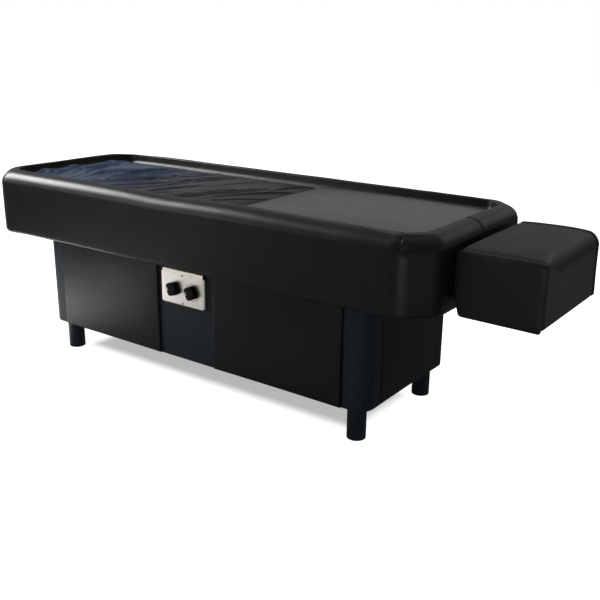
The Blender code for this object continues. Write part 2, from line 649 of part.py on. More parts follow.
def belt_drive(belt_finish, pulley_finish, motor_finish):
    """A belt in the floor of the tank, round a motor's pulley and an idler that turns on a pin."""
    radius = PULLEY_RADIUS + GAP
    loops = []
    for reach, z in ((radius, BELT_Z), (radius + BELT_THICKNESS, BELT_Z),
                     (radius + BELT_THICKNESS, BELT_Z + BELT_WIDTH), (radius, BELT_Z + BELT_WIDTH)):
        plan = arc((IDLER_X, 0.0), reach, -90.0, 90.0, 12) + arc((DRIVE_X, 0.0), reach, 90.0, 270.0, 12)
        loops.append([(x, y, z) for x, y in plan])
    add("drive_belt", lofted(loops, ring=True), belt_finish)

    low, high = BELT_Z - 2 * RUN, BELT_Z + BELT_WIDTH + 2 * RUN
    rim = PULLEY_RADIUS + PULLEY_FLANGE
    grooved = [(rim, low - BELT_THICKNESS), (rim, low), (PULLEY_RADIUS, low), (PULLEY_RADIUS, high),
               (rim, high), (rim, high + BELT_THICKNESS)]
    motor_top = DECK_Z - GAP
    socket = motor_top - MOTOR_LENGTH / 3
    profile = [(SHAFT_RADIUS, socket + GAP), (SHAFT_RADIUS, low - BELT_THICKNESS)] + grooved
    add("drive_pulley", turned(profile, "z", (DRIVE_X, 0.0)), pulley_finish, (DRIVE_X, 0.0, BELT_Z))
    bored = [(PIN_RADIUS + RUN, low - BELT_THICKNESS)] + grooved + [(PIN_RADIUS + RUN, high + BELT_THICKNESS)]
    add("idler_pulley", turned(bored, "z", (IDLER_X, 0.0), ring=True), pulley_finish, (IDLER_X, 0.0, BELT_Z))
    pin = [(2 * PIN_RADIUS, TANK_FLOOR + GAP), (2 * PIN_RADIUS, low - BELT_THICKNESS - RUN),
           (PIN_RADIUS, low - BELT_THICKNESS - RUN), (PIN_RADIUS, high + BELT_THICKNESS + RUN),
           (1.5 * PIN_RADIUS, high + BELT_THICKNESS + RUN), (1.5 * PIN_RADIUS, high + 3 * BELT_THICKNESS)]
    add("idler_pin", turned(pin, "z", (IDLER_X, 0.0)), pulley_finish)
    case = [(MOTOR_RADIUS, motor_top - MOTOR_LENGTH), (MOTOR_RADIUS, motor_top),
            (SHAFT_RADIUS + RUN, motor_top), (SHAFT_RADIUS + RUN, socket)]
    add("drive_motor", turned(case, "z", (DRIVE_X, 0.0)), motor_finish)


# Pump, pipes and drain

def pump(case_finish, motor_finish, rotor_finish):
    """A footed motor, the volute on its nose, and the impeller that turns inside on the motor's shaft."""
    near, far = VOLUTE_X - VOLUTE_WIDTH / 2, VOLUTE_X + VOLUTE_WIDTH / 2
    axis = (-PUMP_SIDE, PUMP_Z)
    hollow = VOLUTE_RADIUS - VOLUTE_WALL
    eye = SUCTION_RADIUS - PIPE_WALL
    shell = [(eye, near), (VOLUTE_RADIUS, near), (VOLUTE_RADIUS, far), (PUMP_SHAFT_RADIUS + RUN, far),
             (PUMP_SHAFT_RADIUS + RUN, far - VOLUTE_WALL), (hollow, far - VOLUTE_WALL),
             (hollow, near + VOLUTE_WALL), (eye, near + VOLUTE_WALL)]
    volute = add("pump_volute", turned(shell, "x", axis, ring=True), case_finish)
    port = DISCHARGE_RADIUS - PIPE_WALL
    outlet = [(port, PUMP_Z + hollow - VOLUTE_WALL), (port, PUMP_Z + VOLUTE_RADIUS + VOLUTE_WALL)]
    combine(volute, turned(outlet, "z", (VOLUTE_X, -PUMP_SIDE)), "DIFFERENCE")

    tail = far + PUMP_MOTOR_LENGTH / 4
    disc_back = far - VOLUTE_WALL - 4 * RUN
    disc_front = disc_back - VOLUTE_WALL / 2
    profile = [(PUMP_SHAFT_RADIUS, tail), (PUMP_SHAFT_RADIUS, disc_back), (IMPELLER_RADIUS, disc_back),
               (IMPELLER_RADIUS, disc_front), (PUMP_SHAFT_RADIUS, disc_front),
               (PUMP_SHAFT_RADIUS, near + VOLUTE_WALL + 4 * RUN)]
    rotor = add("pump_impeller", turned(profile, "x", axis), rotor_finish, (VOLUTE_X, *axis))
    for turn in range(3):
        vane = box((near + VOLUTE_WALL + 4 * RUN, VANE_TIP - IMPELLER_RADIUS, -VANE_THICKNESS / 2),
                   (disc_front + RUN, IMPELLER_RADIUS - VANE_TIP, VANE_THICKNESS / 2))
        vane.transform(Matrix.Rotation(math.radians(60.0 * turn), 4, "X"))
        vane.transform(Matrix.Translation((0.0, *axis)))
        combine(rotor, vane, "UNION")

    start, end = far + GAP, far + GAP + PUMP_MOTOR_LENGTH
    body = [(PUMP_SHAFT_RADIUS + RUN, tail + RUN), (PUMP_SHAFT_RADIUS + RUN, start),
            (PUMP_MOTOR_RADIUS - PUMP_SHOULDER, start), (PUMP_MOTOR_RADIUS, start + PUMP_SHOULDER),
            (PUMP_MOTOR_RADIUS, end - 2 * PUMP_COWL), (PUMP_MOTOR_RADIUS - PUMP_COWL, end)]
    motor = add("pump_motor", turned(body, "x", axis), motor_finish)
    foot = box((start + PUMP_FOOT_INSET, axis[0] - PUMP_MOTOR_RADIUS + PUMP_FOOT_SIDE, FLOOR_TOP + GAP),
               (end - PUMP_FOOT_INSET, axis[0] + PUMP_MOTOR_RADIUS - PUMP_FOOT_SIDE,
                PUMP_Z - PUMP_MOTOR_RADIUS + 2 * PUMP_COWL))
    combine(motor, foot, "UNION")


def elbow(x, high, low, end_x, bend):
    """Path of a pipe that drops from `high` and bends to run level along X, in the pump's plane."""
    turn = math.copysign(bend, end_x - x)
    sweep = [(x + turn * (1 - math.cos(a)), low + bend * (1 - math.sin(a)))
             for a in (math.radians(15.0 * step) for step in range(7))]
    plan = [(x, high)] + sweep + [(end_x, low)]
    return [(px, -PUMP_SIDE, pz) for px, pz in plan]


def pipes(pipe_finish, hose_finish):
    """Suction pipe, discharge pipe and the hose that follows the jets."""
    suction = elbow(SUCTION_X, TANK_BOTTOM - GAP, PUMP_Z, VOLUTE_X - VOLUTE_WIDTH / 2 - GAP, PIPE_BEND)
    add("suction_pipe", tube(suction, SUCTION_RADIUS, SUCTION_RADIUS - PIPE_WALL), pipe_finish)
    spigot = TANK_FLOOR + 2 * DISCHARGE_RADIUS
    outer, inner = DISCHARGE_RADIUS, DISCHARGE_RADIUS - PIPE_WALL
    foot = PUMP_Z + VOLUTE_RADIUS + GAP
    profile = [(inner, foot), (outer, foot), (outer, spigot), (inner, spigot)]
    add("discharge_pipe", turned(profile, "z", (VOLUTE_X, -PUMP_SIDE), ring=True, sides=16), pipe_finish)
    level = JET_BAR_BOTTOM + JET_BAR_HEIGHT / 2
    bend = (level - spigot - GAP) * 0.9
    arch = [(VOLUTE_X - bend * (1 - math.cos(a)), -PUMP_SIDE, level - bend * (1 - math.sin(a)))
            for a in (math.radians(15.0 * step) for step in range(7))]
    ends = (VOLUTE_X, -PUMP_SIDE, spigot + GAP), (CARRIAGE_X + JET_BAR_WIDTH / 2 + GAP, -PUMP_SIDE, level)
    add("jet_hose", tube([ends[0]] + arch + [ends[1]], HOSE_RADIUS, HOSE_RADIUS - PIPE_WALL), hose_finish)


def drain(valve_finish, lever_finish):
    """A drain pipe from the tank to the cabinet's floor, with a ball valve and its lever."""
    bore = DRAIN_RADIUS - PIPE_WALL
    low, high = VALVE_Z - VALVE_HEIGHT / 2, VALVE_Z + VALVE_HEIGHT / 2
    profile = [(bore, FOOT_HEIGHT), (DRAIN_RADIUS, FOOT_HEIGHT), (DRAIN_RADIUS, low), (VALVE_RADIUS, low),
               (VALVE_RADIUS, high), (DRAIN_RADIUS, high), (DRAIN_RADIUS, TANK_BOTTOM - GAP),
               (bore, TANK_BOTTOM - GAP)]
    add("drain_valve", turned(profile, "z", (DRAIN_X, DRAIN_Y), ring=True), valve_finish)
    half = DRAIN_RADIUS / 2
    outline = arc((DRAIN_X, VALVE_Z), DRAIN_RADIUS, 35.0, 325.0, 12)
    outline += arc((DRAIN_X + LEVER_LENGTH - half, VALVE_Z), half, -90.0, 90.0, 6)
    near = DRAIN_Y + VALVE_RADIUS + GAP
    add("drain_lever", prism(outline, "y", near, near + PIPE_WALL), lever_finish, (DRAIN_X, near, VALVE_Z))


# Controls and power inlet

def control_plate(finish):
    """A folded steel pan with sloping edges, the top one the widest, holed for the two knob shafts."""
    back = -CABINET_Y - GAP
    face = -CABINET_Y - PLATE_PROUD
    low = PLATE_TOP - PLATE_HEIGHT
    x = TUB_X - PLATE_HEADWARD

    def loop(y, shrink, slope, hood):
        half = PLATE_WIDTH / 2 - shrink - slope
        bottom, top = low + shrink + slope, PLATE_TOP - shrink - hood
        return [(x - half, y, bottom), (x + half, y, bottom), (x + half, y, top), (x - half, y, top)]

    loops = [loop(face, 0.0, PLATE_SLOPE, PLATE_HOOD), loop(back, 0.0, 0.0, 0.0),
             loop(back, PLATE_SHEET, 0.0, 0.0),
             loop(face + PLATE_SHEET, PLATE_SHEET, PLATE_SLOPE, PLATE_HOOD)]
    plate = add("control_plate", lofted(loops), finish)
    for side in (-1, 1):
        hole = [(KNOB_SHAFT + RUN, face - PLATE_PROUD), (KNOB_SHAFT + RUN, back)]
        axis = (TUB_X + side * KNOB_SPACING / 2, PLATE_FACE_Z)
        combine(plate, turned(hole, "y", axis, sides=16), "DIFFERENCE")


def knob(name, side, turn, finish):
    """A round skirt with a thick bar across it and a stub of shaft through the plate."""
    face = -CABINET_Y - PLATE_PROUD
    centre = (TUB_X + side * KNOB_SPACING / 2, PLATE_FACE_Z)
    skirt_back = face - 2 * RUN
    skirt_front = skirt_back - KNOB_SKIRT
    front = skirt_back - KNOB_DEPTH

    def round_loop(radius, y):
        angles = [2 * math.pi * step / ROUND for step in range(ROUND)]
        return [(centre[0] + radius * math.cos(a), y, centre[1] + radius * math.sin(a)) for a in angles]

    def bar_loop(scale, y):
        loop = []
        for step in range(ROUND):
            a = 2 * math.pi * step / ROUND
            across = math.copysign(abs(math.cos(a)) ** KNOB_SQUARENESS, math.cos(a)) * scale * KNOB_BAR / 2
            along = math.copysign(abs(math.sin(a)) ** KNOB_SQUARENESS, math.sin(a))
            along *= scale * (KNOB_RADIUS - RUN)
            spun = Vector((across, along)) @ Matrix.Rotation(turn, 2)
            loop.append((centre[0] + spun.x, y, centre[1] + spun.y))
        return loop

    shaft_end = face + PLATE_SHEET
    loops = [round_loop(KNOB_SHAFT, shaft_end), round_loop(KNOB_SHAFT, skirt_back),
             round_loop(KNOB_RADIUS, skirt_back), round_loop(KNOB_RADIUS, skirt_front),
             bar_loop(1.0, skirt_front - GAP),
             bar_loop(KNOB_TAPER, front + KNOB_CHAMFER), bar_loop(KNOB_FRONT, front)]
    add(name, lofted(loops), finish, (centre[0], face, centre[1]))


def switches(finish):
    """The timer and the pressure control behind the plate."""
    near = -CABINET_Y - PLATE_PROUD + PLATE_SHEET + GAP
    for name, side in (("timer_body", -1), ("pressure_body", 1)):
        x = TUB_X + side * KNOB_SPACING / 2
        add(name, box((x - SWITCH_WIDTH / 2, near, PLATE_FACE_Z - SWITCH_HEIGHT / 2),
                      (x + SWITCH_WIDTH / 2, near + SWITCH_DEPTH, PLATE_FACE_Z + SWITCH_HEIGHT / 2)), finish)


def power_inlet(finish):
    """The bare gland in the back bay where a supply lead would enter."""
    bore = INLET_RADIUS / 2
    inner, outer = CABINET_Y - BOARD - GAP, CABINET_Y + GAP
    profile = [(bore, inner - INLET_NUT / 2), (INLET_NUT, inner - INLET_NUT / 2), (INLET_NUT, inner),
               (INLET_RADIUS, inner), (INLET_RADIUS, outer), (INLET_NUT, outer),
               (INLET_NUT, outer + INLET_NUT / 2), (bore, outer + INLET_NUT)]
    add("power_inlet", turned(profile, "y", (TUB_X, PUMP_Z), ring=True), finish)


# Footrest

def footrest(cushion_finish, cleat_finish):
    """The upholstered block that hangs on the tub's foot end by a pair of bevelled cleats."""
    near = FOOT_X + FOOTREST_GAP
    far = near + FOOTREST_LENGTH
    bottom = DECK_Z + FOOTREST_RISE
    top = bottom + FOOTREST_HEIGHT - FOOTREST_CROWN
    full = Outline(near, far, FOOTREST_WIDTH / 2, GAP, GAP, 0.0)

    def crown(s, t):
        return top + FOOTREST_CROWN * (1 - s ** 4) * (1 - t ** 4)

    def ring(inset, share):
        corners = full._replace(head=near, foot=far - inset, half_width=FOOTREST_WIDTH / 2 - inset)
        return corners._replace(draw=FOOTREST_DRAW * share)

    edge = FOOTREST_EDGE
    middle = bottom + FOOTREST_HEIGHT / 2
    rings = [(ring(edge * EDGE_EASE, 0.3), top - edge * EDGE_EASE), (ring(0.0, 0.3), top - edge),
             (ring(edge * EDGE_EASE, 1.0), middle), (ring(0.0, 0.5), bottom + edge)]
    bm = pillow((moved_in(full, edge), crown), rings, (ring(edge / 2, 0.3), lambda s, t: bottom), (8, 12))
    lift = (near, 0.0, bottom)
    add("footrest_block", bm, cushion_finish, lift)

    inner, outer = FOOT_X + GAP, near - GAP
    cleat_low = DECK_Z + CLEAT_HEIGHT
    bevel = outer - inner
    cleat = [(inner, cleat_low), (outer, cleat_low), (outer, cleat_low + CLEAT_HEIGHT + bevel),
             (inner, cleat_low + CLEAT_HEIGHT)]
    add("tub_cleat", prism(cleat, "y", -CLEAT_LENGTH / 2, CLEAT_LENGTH / 2), cleat_finish)
    seat = cleat_low + CLEAT_HEIGHT + DIAGONAL * GAP
    hanger = [(inner, seat), (outer, seat + bevel), (outer, seat + HANGER_HEIGHT),
              (inner, seat + HANGER_HEIGHT)]
    add("footrest_hanger", prism(hanger, "y", -CLEAT_LENGTH / 2, CLEAT_LENGTH / 2), cleat_finish, lift)


def build():
    """Clear the scene and make every piece."""
    for item in list(bpy.data.objects):
        bpy.data.objects.remove(item)
    vinyl = material("black_vinyl", (0.016, 0.016, 0.016), 0.45)
    pad_vinyl = material("grey_vinyl", (0.095, 0.095, 0.095), 0.65)
    laminate = material("textured_laminate", (0.009, 0.012, 0.015), 0.6)
    plywood = material("plywood", (0.45, 0.30, 0.17), 0.7)
    leg_paint = material("leg_paint", (0.008, 0.010, 0.013), 0.5)
    sheet = material("navy_membrane", (0.022, 0.030, 0.050), 0.35)
    tank_plastic = material("tank_plastic", (0.62, 0.65, 0.66), 0.4)
    steel = material("brushed_steel", (0.68, 0.65, 0.62), 0.32, 1.0)
    knob_plastic = material("knob_plastic", (0.005, 0.006, 0.007), 0.4)
    dark_plastic = material("dark_plastic", (0.03, 0.03, 0.03), 0.5)
    motor_paint = material("motor_paint", (0.10, 0.13, 0.16), 0.5)
    rubber = material("rubber", (0.02, 0.02, 0.02), 0.8)
    brass = material("valve_brass", (0.60, 0.42, 0.16), 0.35, 1.0)

    cabinet_boards(laminate)
    corner_posts_and_feet(laminate, leg_paint)
    cabinet_panels(vinyl)
    tub_deck_and_walls(plywood)
    bolsters(vinyl)
    water_tank(tank_plastic)
    membrane_and_frame(sheet, steel)
    leg_pad(pad_vinyl, plywood)
    rails(steel)
    jet_carriage(dark_plastic, tank_plastic)
    belt_drive(rubber, dark_plastic, motor_paint)
    pump(dark_plastic, motor_paint, brass)
    pipes(tank_plastic, rubber)
    drain(brass, knob_plastic)
    control_plate(steel)
    knob("timer_knob", -1, TIMER_KNOB_TURN, knob_plastic)
    knob("pressure_knob", 1, PRESSURE_KNOB_TURN, knob_plastic)
    switches(dark_plastic)
    power_inlet(dark_plastic)
    footrest(vinyl, steel)


build()
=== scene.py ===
# %% [markdown]
# # A hydromassage table, dressed for its picture
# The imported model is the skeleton: boards, legs, knobs and joints at their real size. This lesson adds
# what the eye sees. Each soft or shaped piece is rebuilt as a finer mesh in the same place, and every
# surface gets a finish made of shader nodes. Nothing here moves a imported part, so the joints still work
# afterwards.

# %% Load the frame
import math

import bmesh
import bpy
import numpy as np
from mathutils import Matrix, Vector, noise


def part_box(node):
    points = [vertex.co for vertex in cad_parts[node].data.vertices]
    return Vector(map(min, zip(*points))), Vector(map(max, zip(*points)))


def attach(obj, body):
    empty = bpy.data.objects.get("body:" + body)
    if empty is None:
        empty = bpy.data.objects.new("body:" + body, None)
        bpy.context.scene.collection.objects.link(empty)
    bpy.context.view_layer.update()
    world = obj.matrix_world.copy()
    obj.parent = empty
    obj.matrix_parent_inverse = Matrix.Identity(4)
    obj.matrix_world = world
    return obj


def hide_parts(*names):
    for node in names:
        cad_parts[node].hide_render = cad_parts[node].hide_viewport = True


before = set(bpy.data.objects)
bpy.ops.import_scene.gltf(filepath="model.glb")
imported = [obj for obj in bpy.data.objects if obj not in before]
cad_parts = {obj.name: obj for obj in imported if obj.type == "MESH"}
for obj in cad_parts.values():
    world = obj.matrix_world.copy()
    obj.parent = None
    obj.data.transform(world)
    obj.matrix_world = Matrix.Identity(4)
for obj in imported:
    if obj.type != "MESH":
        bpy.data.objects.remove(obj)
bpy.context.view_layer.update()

# %% [markdown]
# ## Measures taken from the frame
# A dresser measures the bed before cutting the cover. The ends, sides and levels used below are read from
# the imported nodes, so a repacked model with other sizes still gets a cover that fits.

# %% Measures
front_low, front_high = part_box("front_bolster")
TUB_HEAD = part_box("head_bolster")[0].x
TUB_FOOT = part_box("foot_bolster")[1].x
TUB_MIDDLE = (TUB_HEAD + TUB_FOOT) / 2
TUB_SIDE = -front_low.y
SKIRT_BOTTOM = front_low.z
RIM_TOP = front_high.z
TUB_CORNER = front_low.x - TUB_HEAD
PAD_LOW, PAD_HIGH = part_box("leg_pad")
CLAMP_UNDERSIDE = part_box("membrane_frame")[0].z
print(f"tub {TUB_FOOT - TUB_HEAD:.3f} m long, {2 * TUB_SIDE:.3f} m wide, rim at {RIM_TOP:.3f} m")

# %% [markdown]
# ## The camera
# The photograph was taken from the front, near the foot end, a little above the rim. The place, angles
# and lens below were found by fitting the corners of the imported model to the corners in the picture.

# %% Camera
CAMERA_PLACE = Vector((1.8093, -2.2903, 1.2465))
CAMERA_YAW = math.radians(35.782)
CAMERA_PITCH = math.radians(17.911)
CAMERA_ROLL = math.radians(0.671)
CAMERA_LENS_MM = 49.577

look = Vector((-math.sin(CAMERA_YAW) * math.cos(CAMERA_PITCH),
               math.cos(CAMERA_YAW) * math.cos(CAMERA_PITCH),
               -math.sin(CAMERA_PITCH)))
level_right = Vector((math.cos(CAMERA_YAW), math.sin(CAMERA_YAW), 0.0))
level_up = level_right.cross(look)
right = level_right * math.cos(CAMERA_ROLL) + level_up * math.sin(CAMERA_ROLL)
up = level_up * math.cos(CAMERA_ROLL) - level_right * math.sin(CAMERA_ROLL)
camera_data = bpy.data.cameras.new("camera")
camera_data.sensor_width = 36.0
camera_data.lens = CAMERA_LENS_MM
camera = bpy.data.objects.new("camera", camera_data)
camera.matrix_world = Matrix.Translation(CAMERA_PLACE) @ Matrix((right, up, -look)).transposed().to_4x4()
bpy.context.scene.collection.objects.link(camera)
bpy.context.scene.camera = camera
bpy.context.scene.view_settings.view_transform = "Standard"
print("camera at", [round(x, 3) for x in CAMERA_PLACE], "lens", CAMERA_LENS_MM, "mm")

# %% [markdown]
# ## Colours and nodes
# Colours are written as the sRGB hex codes that a paint program shows, and one function makes them
# linear, which is what the shader counts in. One more small function adds a shader node, sets it and
# links it, so a material reads as a short list of nodes.

# %% Colour and node helpers
def srgb(code):
    """Linear red, green, blue and alpha of an sRGB hex code such as #1b1b1c."""
    channels = [int(code[place:place + 2], 16) / 255 for place in (1, 3, 5)]
    linear = [c / 12.92 if c <= 0.04045 else ((c + 0.055) / 1.055) ** 2.4 for c in channels]
    return (*linear, 1.0)


def add_node(tree, kind, settings=None, links=None):
    """Add a node. Settings name its properties or sockets, and links feed sockets from other outputs."""
    node = tree.nodes.new(kind)
    for name, value in (settings or {}).items():
        if isinstance(name, str) and hasattr(node, name):
            setattr(node, name, value)
        else:
            node.inputs[name].default_value = value
    for name, source in (links or {}).items():
        tree.links.new(source, node.inputs[name])
    return node


def new_finish(name, **sockets):
    """A material with a Principled shader, its sockets set by name with _ for a space."""
    finish = bpy.data.materials.new(name)
    finish.use_nodes = True
    tree = finish.node_tree
    shader = tree.nodes["Principled BSDF"]
    for socket, value in sockets.items():
        shader.inputs[socket.replace("_", " ")].default_value = value
    place = add_node(tree, "ShaderNodeTexCoord").outputs["Object"]
    return finish, tree, shader, place


def millimetres(size):
    """The scale of a texture whose pattern repeats every so many millimetres."""
    return 1000.0 / size


def lumps(tree, place, size_mm, detail, **more):
    """Noise from 0 to 1 with lumps of about so many millimetres."""
    settings = {"Scale": millimetres(size_mm), "Detail": detail, **more}
    return add_node(tree, "ShaderNodeTexNoise", settings, {"Vector": place}).outputs["Fac"]


def two_tones(tree, share, dark, light):
    """A colour between two hex codes, by a share from 0 to 1."""
    return add_node(tree, "ShaderNodeMix", {"data_type": "RGBA", 6: srgb(dark), 7: srgb(light)},
                    {0: share}).outputs[2]


def between(tree, share, low, high):
    """A value that runs from low to high as a share runs from 0 to 1."""
    return add_node(tree, "ShaderNodeMapRange", {"To Min": low, "To Max": high}, {"Value": share}).outputs[0]


def maths(tree, operation, *values, kind="Math", output=0):
    """The result of one sum. Each value is a plain number or vector, or another node's output."""
    links = {place: value for place, value in enumerate(values) if isinstance(value, bpy.types.NodeSocket)}
    plain = {place: value for place, value in enumerate(values) if place not in links}
    return add_node(tree, "ShaderNode" + kind, {"operation": operation, **plain}, links).outputs[output]


def axis_part(tree, vector, axis):
    """The X, Y or Z part of a vector."""
    return add_node(tree, "ShaderNodeSeparateXYZ", None, {0: vector}).outputs[axis]


def feed(tree, shader, **sources):
    """Link outputs to a shader's sockets, named with _ for a space."""
    for socket, source in sources.items():
        tree.links.new(source, shader.inputs[socket.replace("_", " ")])


def emboss(tree, shader, height, strength, depth):
    """Press a height into the shading, with its depth in metres."""
    bump = add_node(tree, "ShaderNodeBump", {"Strength": strength, "Distance": depth}, {"Height": height})
    feed(tree, shader, Normal=bump.outputs[0])


# %% [markdown]
# ## The studio
# A product picture wants a white floor that still holds a soft shadow. The floor is pale and matt, and a
# little extra brightness, for the camera's rays only, lifts it to white: less close to the cabinet, and
# fully further out. That weaker lift paints most of the shadow, its size and its depth, and the real shade
# under the cabinet adds the rest. Black vinyl shows what it mirrors, so the floor as mirrors see it glows
# like a dressed set: light in front, darker far to the left and behind the foot end, as if black cloth
# lay there, with a few bright pools. These are painted reflections: the glow shows only in mirrored rays.
# The mirrored sky has a low band of light all round, dimmer in front.

# %% Floor and world
WHITE = (1.0, 1.0, 1.0, 1.0)
FLOOR_SIZE = 40.0
FLOOR_COLOR = srgb("#bcbcbc")
FLOOR_LIFT_NEAR = 0.44
FLOOR_LIFT_FAR = 1.02
SHADOW_INSET = 0.12
SHADOW_KEPT_TO = 0.0
SHADOW_LOST_FROM = 0.075
MIRRORED_FRONT = 0.55
MIRRORED_BACK = 0.12
MIRRORED_LEFT = 0.30
BACK_FACING = (0.35, 1.0, 0.0)
BACK_RANGE = (-0.65, -0.25)
LEFT_RANGE = (-3.2, -2.2)
# Each painted pool of light on the mirrored floor: its place, its radius in metres and its strength.
POOLS = (
    ((-1.33, -0.64, 0.0), 0.60, 7.6),
    ((1.98, -2.72, 0.0), 0.75, 27.0),
    ((-1.9, -2.0, 0.0), 0.9, 0.9),
    ((2.6, -1.2, 0.0), 1.2, 1.2),
    ((2.4, 1.7, 0.0), 1.3, 0.5),
)
SKY_LIGHT = 0.45
SKY_AT_HORIZON = 0.10
SKY_BAND = 0.44
SKY_OVERHEAD = 0.40
SKY_IN_FRONT = 0.35
FRONT_RANGE = (-0.45, -0.05)
BAND_DEGREES = (6.0, 11.0, 18.0, 40.0)
cabinet_low, cabinet_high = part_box("base_floor")


def box_distance(tree, place):
    """Distance of a place from the middle of the floor under the cabinet, where the painted shadow is full.
    """
    middle = (cabinet_low + cabinet_high) / 2
    half = (cabinet_high - cabinet_low) / 2
    inner = (half.x - SHADOW_INSET, half.y - SHADOW_INSET, 0.0)
    offset = maths(tree, "SUBTRACT", place, (middle.x, middle.y, 0.0), kind="VectorMath")
    mirrored = maths(tree, "ABSOLUTE", offset, kind="VectorMath")
    outside = maths(tree, "SUBTRACT", mirrored, inner, kind="VectorMath")
    kept = maths(tree, "MAXIMUM", outside, (0.0, 0.0, 0.0), kind="VectorMath")
    return maths(tree, "LENGTH", kept, kind="VectorMath", output="Value")


def smooth_range(tree, value, low, high, at_low, at_high):
    """A smooth change from one strength to another while a value runs from low to high."""
    return add_node(tree, "ShaderNodeMapRange",
                    {"interpolation_type": "SMOOTHSTEP", "From Min": low, "From Max": high,
                     "To Min": at_low, "To Max": at_high}, {"Value": value}).outputs[0]


def mirrored_floor(tree, place):
    """Strength of the floor's painted reflection as polished surfaces mirror it: light in front, dark behind,
    and the pools.
    """
    facing = maths(tree, "DOT_PRODUCT", place, BACK_FACING, kind="VectorMath", output="Value")
    total = smooth_range(tree, facing, *BACK_RANGE, MIRRORED_FRONT, MIRRORED_BACK)
    left = smooth_range(tree, axis_part(tree, place, "X"), *LEFT_RANGE, MIRRORED_LEFT, 1.0)
    total = maths(tree, "MULTIPLY", total, left)
    for centre, radius, strength in POOLS:
        away = maths(tree, "DISTANCE", place, centre, kind="VectorMath", output="Value")
        total = maths(tree, "ADD", total, smooth_range(tree, away, 0.0, radius, strength, 0.0))
    return total


def studio_floor():
    """A wide matt floor with a partly painted shadow near the cabinet, plain white further out, and a painted
    reflection for mirrors.
    """
    finish = bpy.data.materials.new("matt_studio_floor")
    finish.use_nodes = True
    tree = finish.node_tree
    tree.nodes.remove(tree.nodes["Principled BSDF"])
    place = add_node(tree, "ShaderNodeNewGeometry").outputs["Position"]
    path = add_node(tree, "ShaderNodeLightPath")
    matt = add_node(tree, "ShaderNodeBsdfDiffuse", {"Color": FLOOR_COLOR})
    # Painted shadow: the camera-only lift is weaker in a box under the cabinet, which sets the shadow's size
    # and most of its depth.
    lift = smooth_range(tree, box_distance(tree, place), SHADOW_KEPT_TO, SHADOW_LOST_FROM,
                        FLOOR_LIFT_NEAR, FLOOR_LIFT_FAR)
    seen = maths(tree, "MULTIPLY", path.outputs["Is Camera Ray"], lift)
    glow = add_node(tree, "ShaderNodeEmission", {"Color": WHITE}, {"Strength": seen})
    lit = add_node(tree, "ShaderNodeAddShader", None, {0: matt.outputs[0], 1: glow.outputs[0]})
    # Painted reflections: this glow, with its pools, is seen by mirrored rays only and lights nothing matt.
    mirrored = add_node(tree, "ShaderNodeEmission", {"Color": WHITE},
                        {"Strength": mirrored_floor(tree, place)})
    either = add_node(tree, "ShaderNodeMixShader", None,
                      {0: path.outputs["Is Glossy Ray"], 1: lit.outputs[0], 2: mirrored.outputs[0]})
    tree.links.new(either.outputs[0], tree.nodes["Material Output"].inputs["Surface"])
    mesh = bpy.data.meshes.new("studio_floor")
    half = FLOOR_SIZE / 2
    corners = [(-half, -half, 0), (half, -half, 0), (half, half, 0), (-half, half, 0)]
    mesh.from_pydata(corners, [], [(0, 1, 2, 3)])
    mesh.materials.append(finish)
    floor = bpy.data.objects.new("studio_floor", mesh)
    bpy.context.scene.collection.objects.link(floor)


def studio_sky():
    """White for the camera, grey light for matt surfaces, and a low band of light where it is mirrored."""
    world = bpy.data.worlds.new("studio_sky")
    world.use_nodes = True
    bpy.context.scene.world = world
    tree = world.node_tree
    direction = add_node(tree, "ShaderNodeTexCoord").outputs["Generated"]
    height = axis_part(tree, direction, "Z")
    levels = [math.sin(math.radians(angle)) for angle in BAND_DEGREES]
    rising = smooth_range(tree, height, levels[0], levels[1], SKY_AT_HORIZON, SKY_BAND)
    falling = smooth_range(tree, height, levels[2], levels[3], 1.0, SKY_OVERHEAD / SKY_BAND)
    front = smooth_range(tree, axis_part(tree, direction, "Y"), *FRONT_RANGE, SKY_IN_FRONT, 1.0)
    band = maths(tree, "MULTIPLY", rising, front)
    ceiling = maths(tree, "MULTIPLY", band, falling)
    path = add_node(tree, "ShaderNodeLightPath")
    lit = add_node(tree, "ShaderNodeMix", {"data_type": "FLOAT", 2: SKY_LIGHT},
                   {0: path.outputs["Is Glossy Ray"], 3: ceiling})
    strength = add_node(tree, "ShaderNodeMix", {"data_type": "FLOAT", 3: 1.0},
                        {0: path.outputs["Is Camera Ray"], 2: lit.outputs[0]})
    tree.nodes["Background"].inputs["Color"].default_value = WHITE
    tree.links.new(strength.outputs[0], tree.nodes["Background"].inputs["Strength"])


studio_floor()
studio_sky()
print("floor", FLOOR_SIZE, "m, sky light", SKY_LIGHT)

# %% [markdown]
# ## Lamps
# A wide softbox beyond the head end draws the long highlight on the rolled rim and the pale strip on the
# far side's slope. A low one in front, to the left, shines in the steel plate's sloping top, and a weak
# one behind the foot end rounds the footrest's edge. These three give light only to what mirrors them, so
# they throw no second shadow. A broad overhead lamp lights the whole set and makes the shadow on the
# floor, and it isn't mirrored.

# %% Softboxes
def softbox(name, place, aim, size, power, mirrored_only=False):
    """A rectangular area lamp that faces a point."""
    data = bpy.data.lights.new(name, "AREA")
    data.shape = "RECTANGLE"
    data.size, data.size_y = size
    data.energy = power
    lamp = bpy.data.objects.new(name, data)
    lamp.location = place
    lamp.rotation_mode = "QUATERNION"
    lamp.rotation_quaternion = (Vector(aim) - Vector(place)).to_track_quat("-Z", "Y")
    lamp.visible_diffuse = not mirrored_only
    bpy.context.scene.collection.objects.link(lamp)
    return lamp


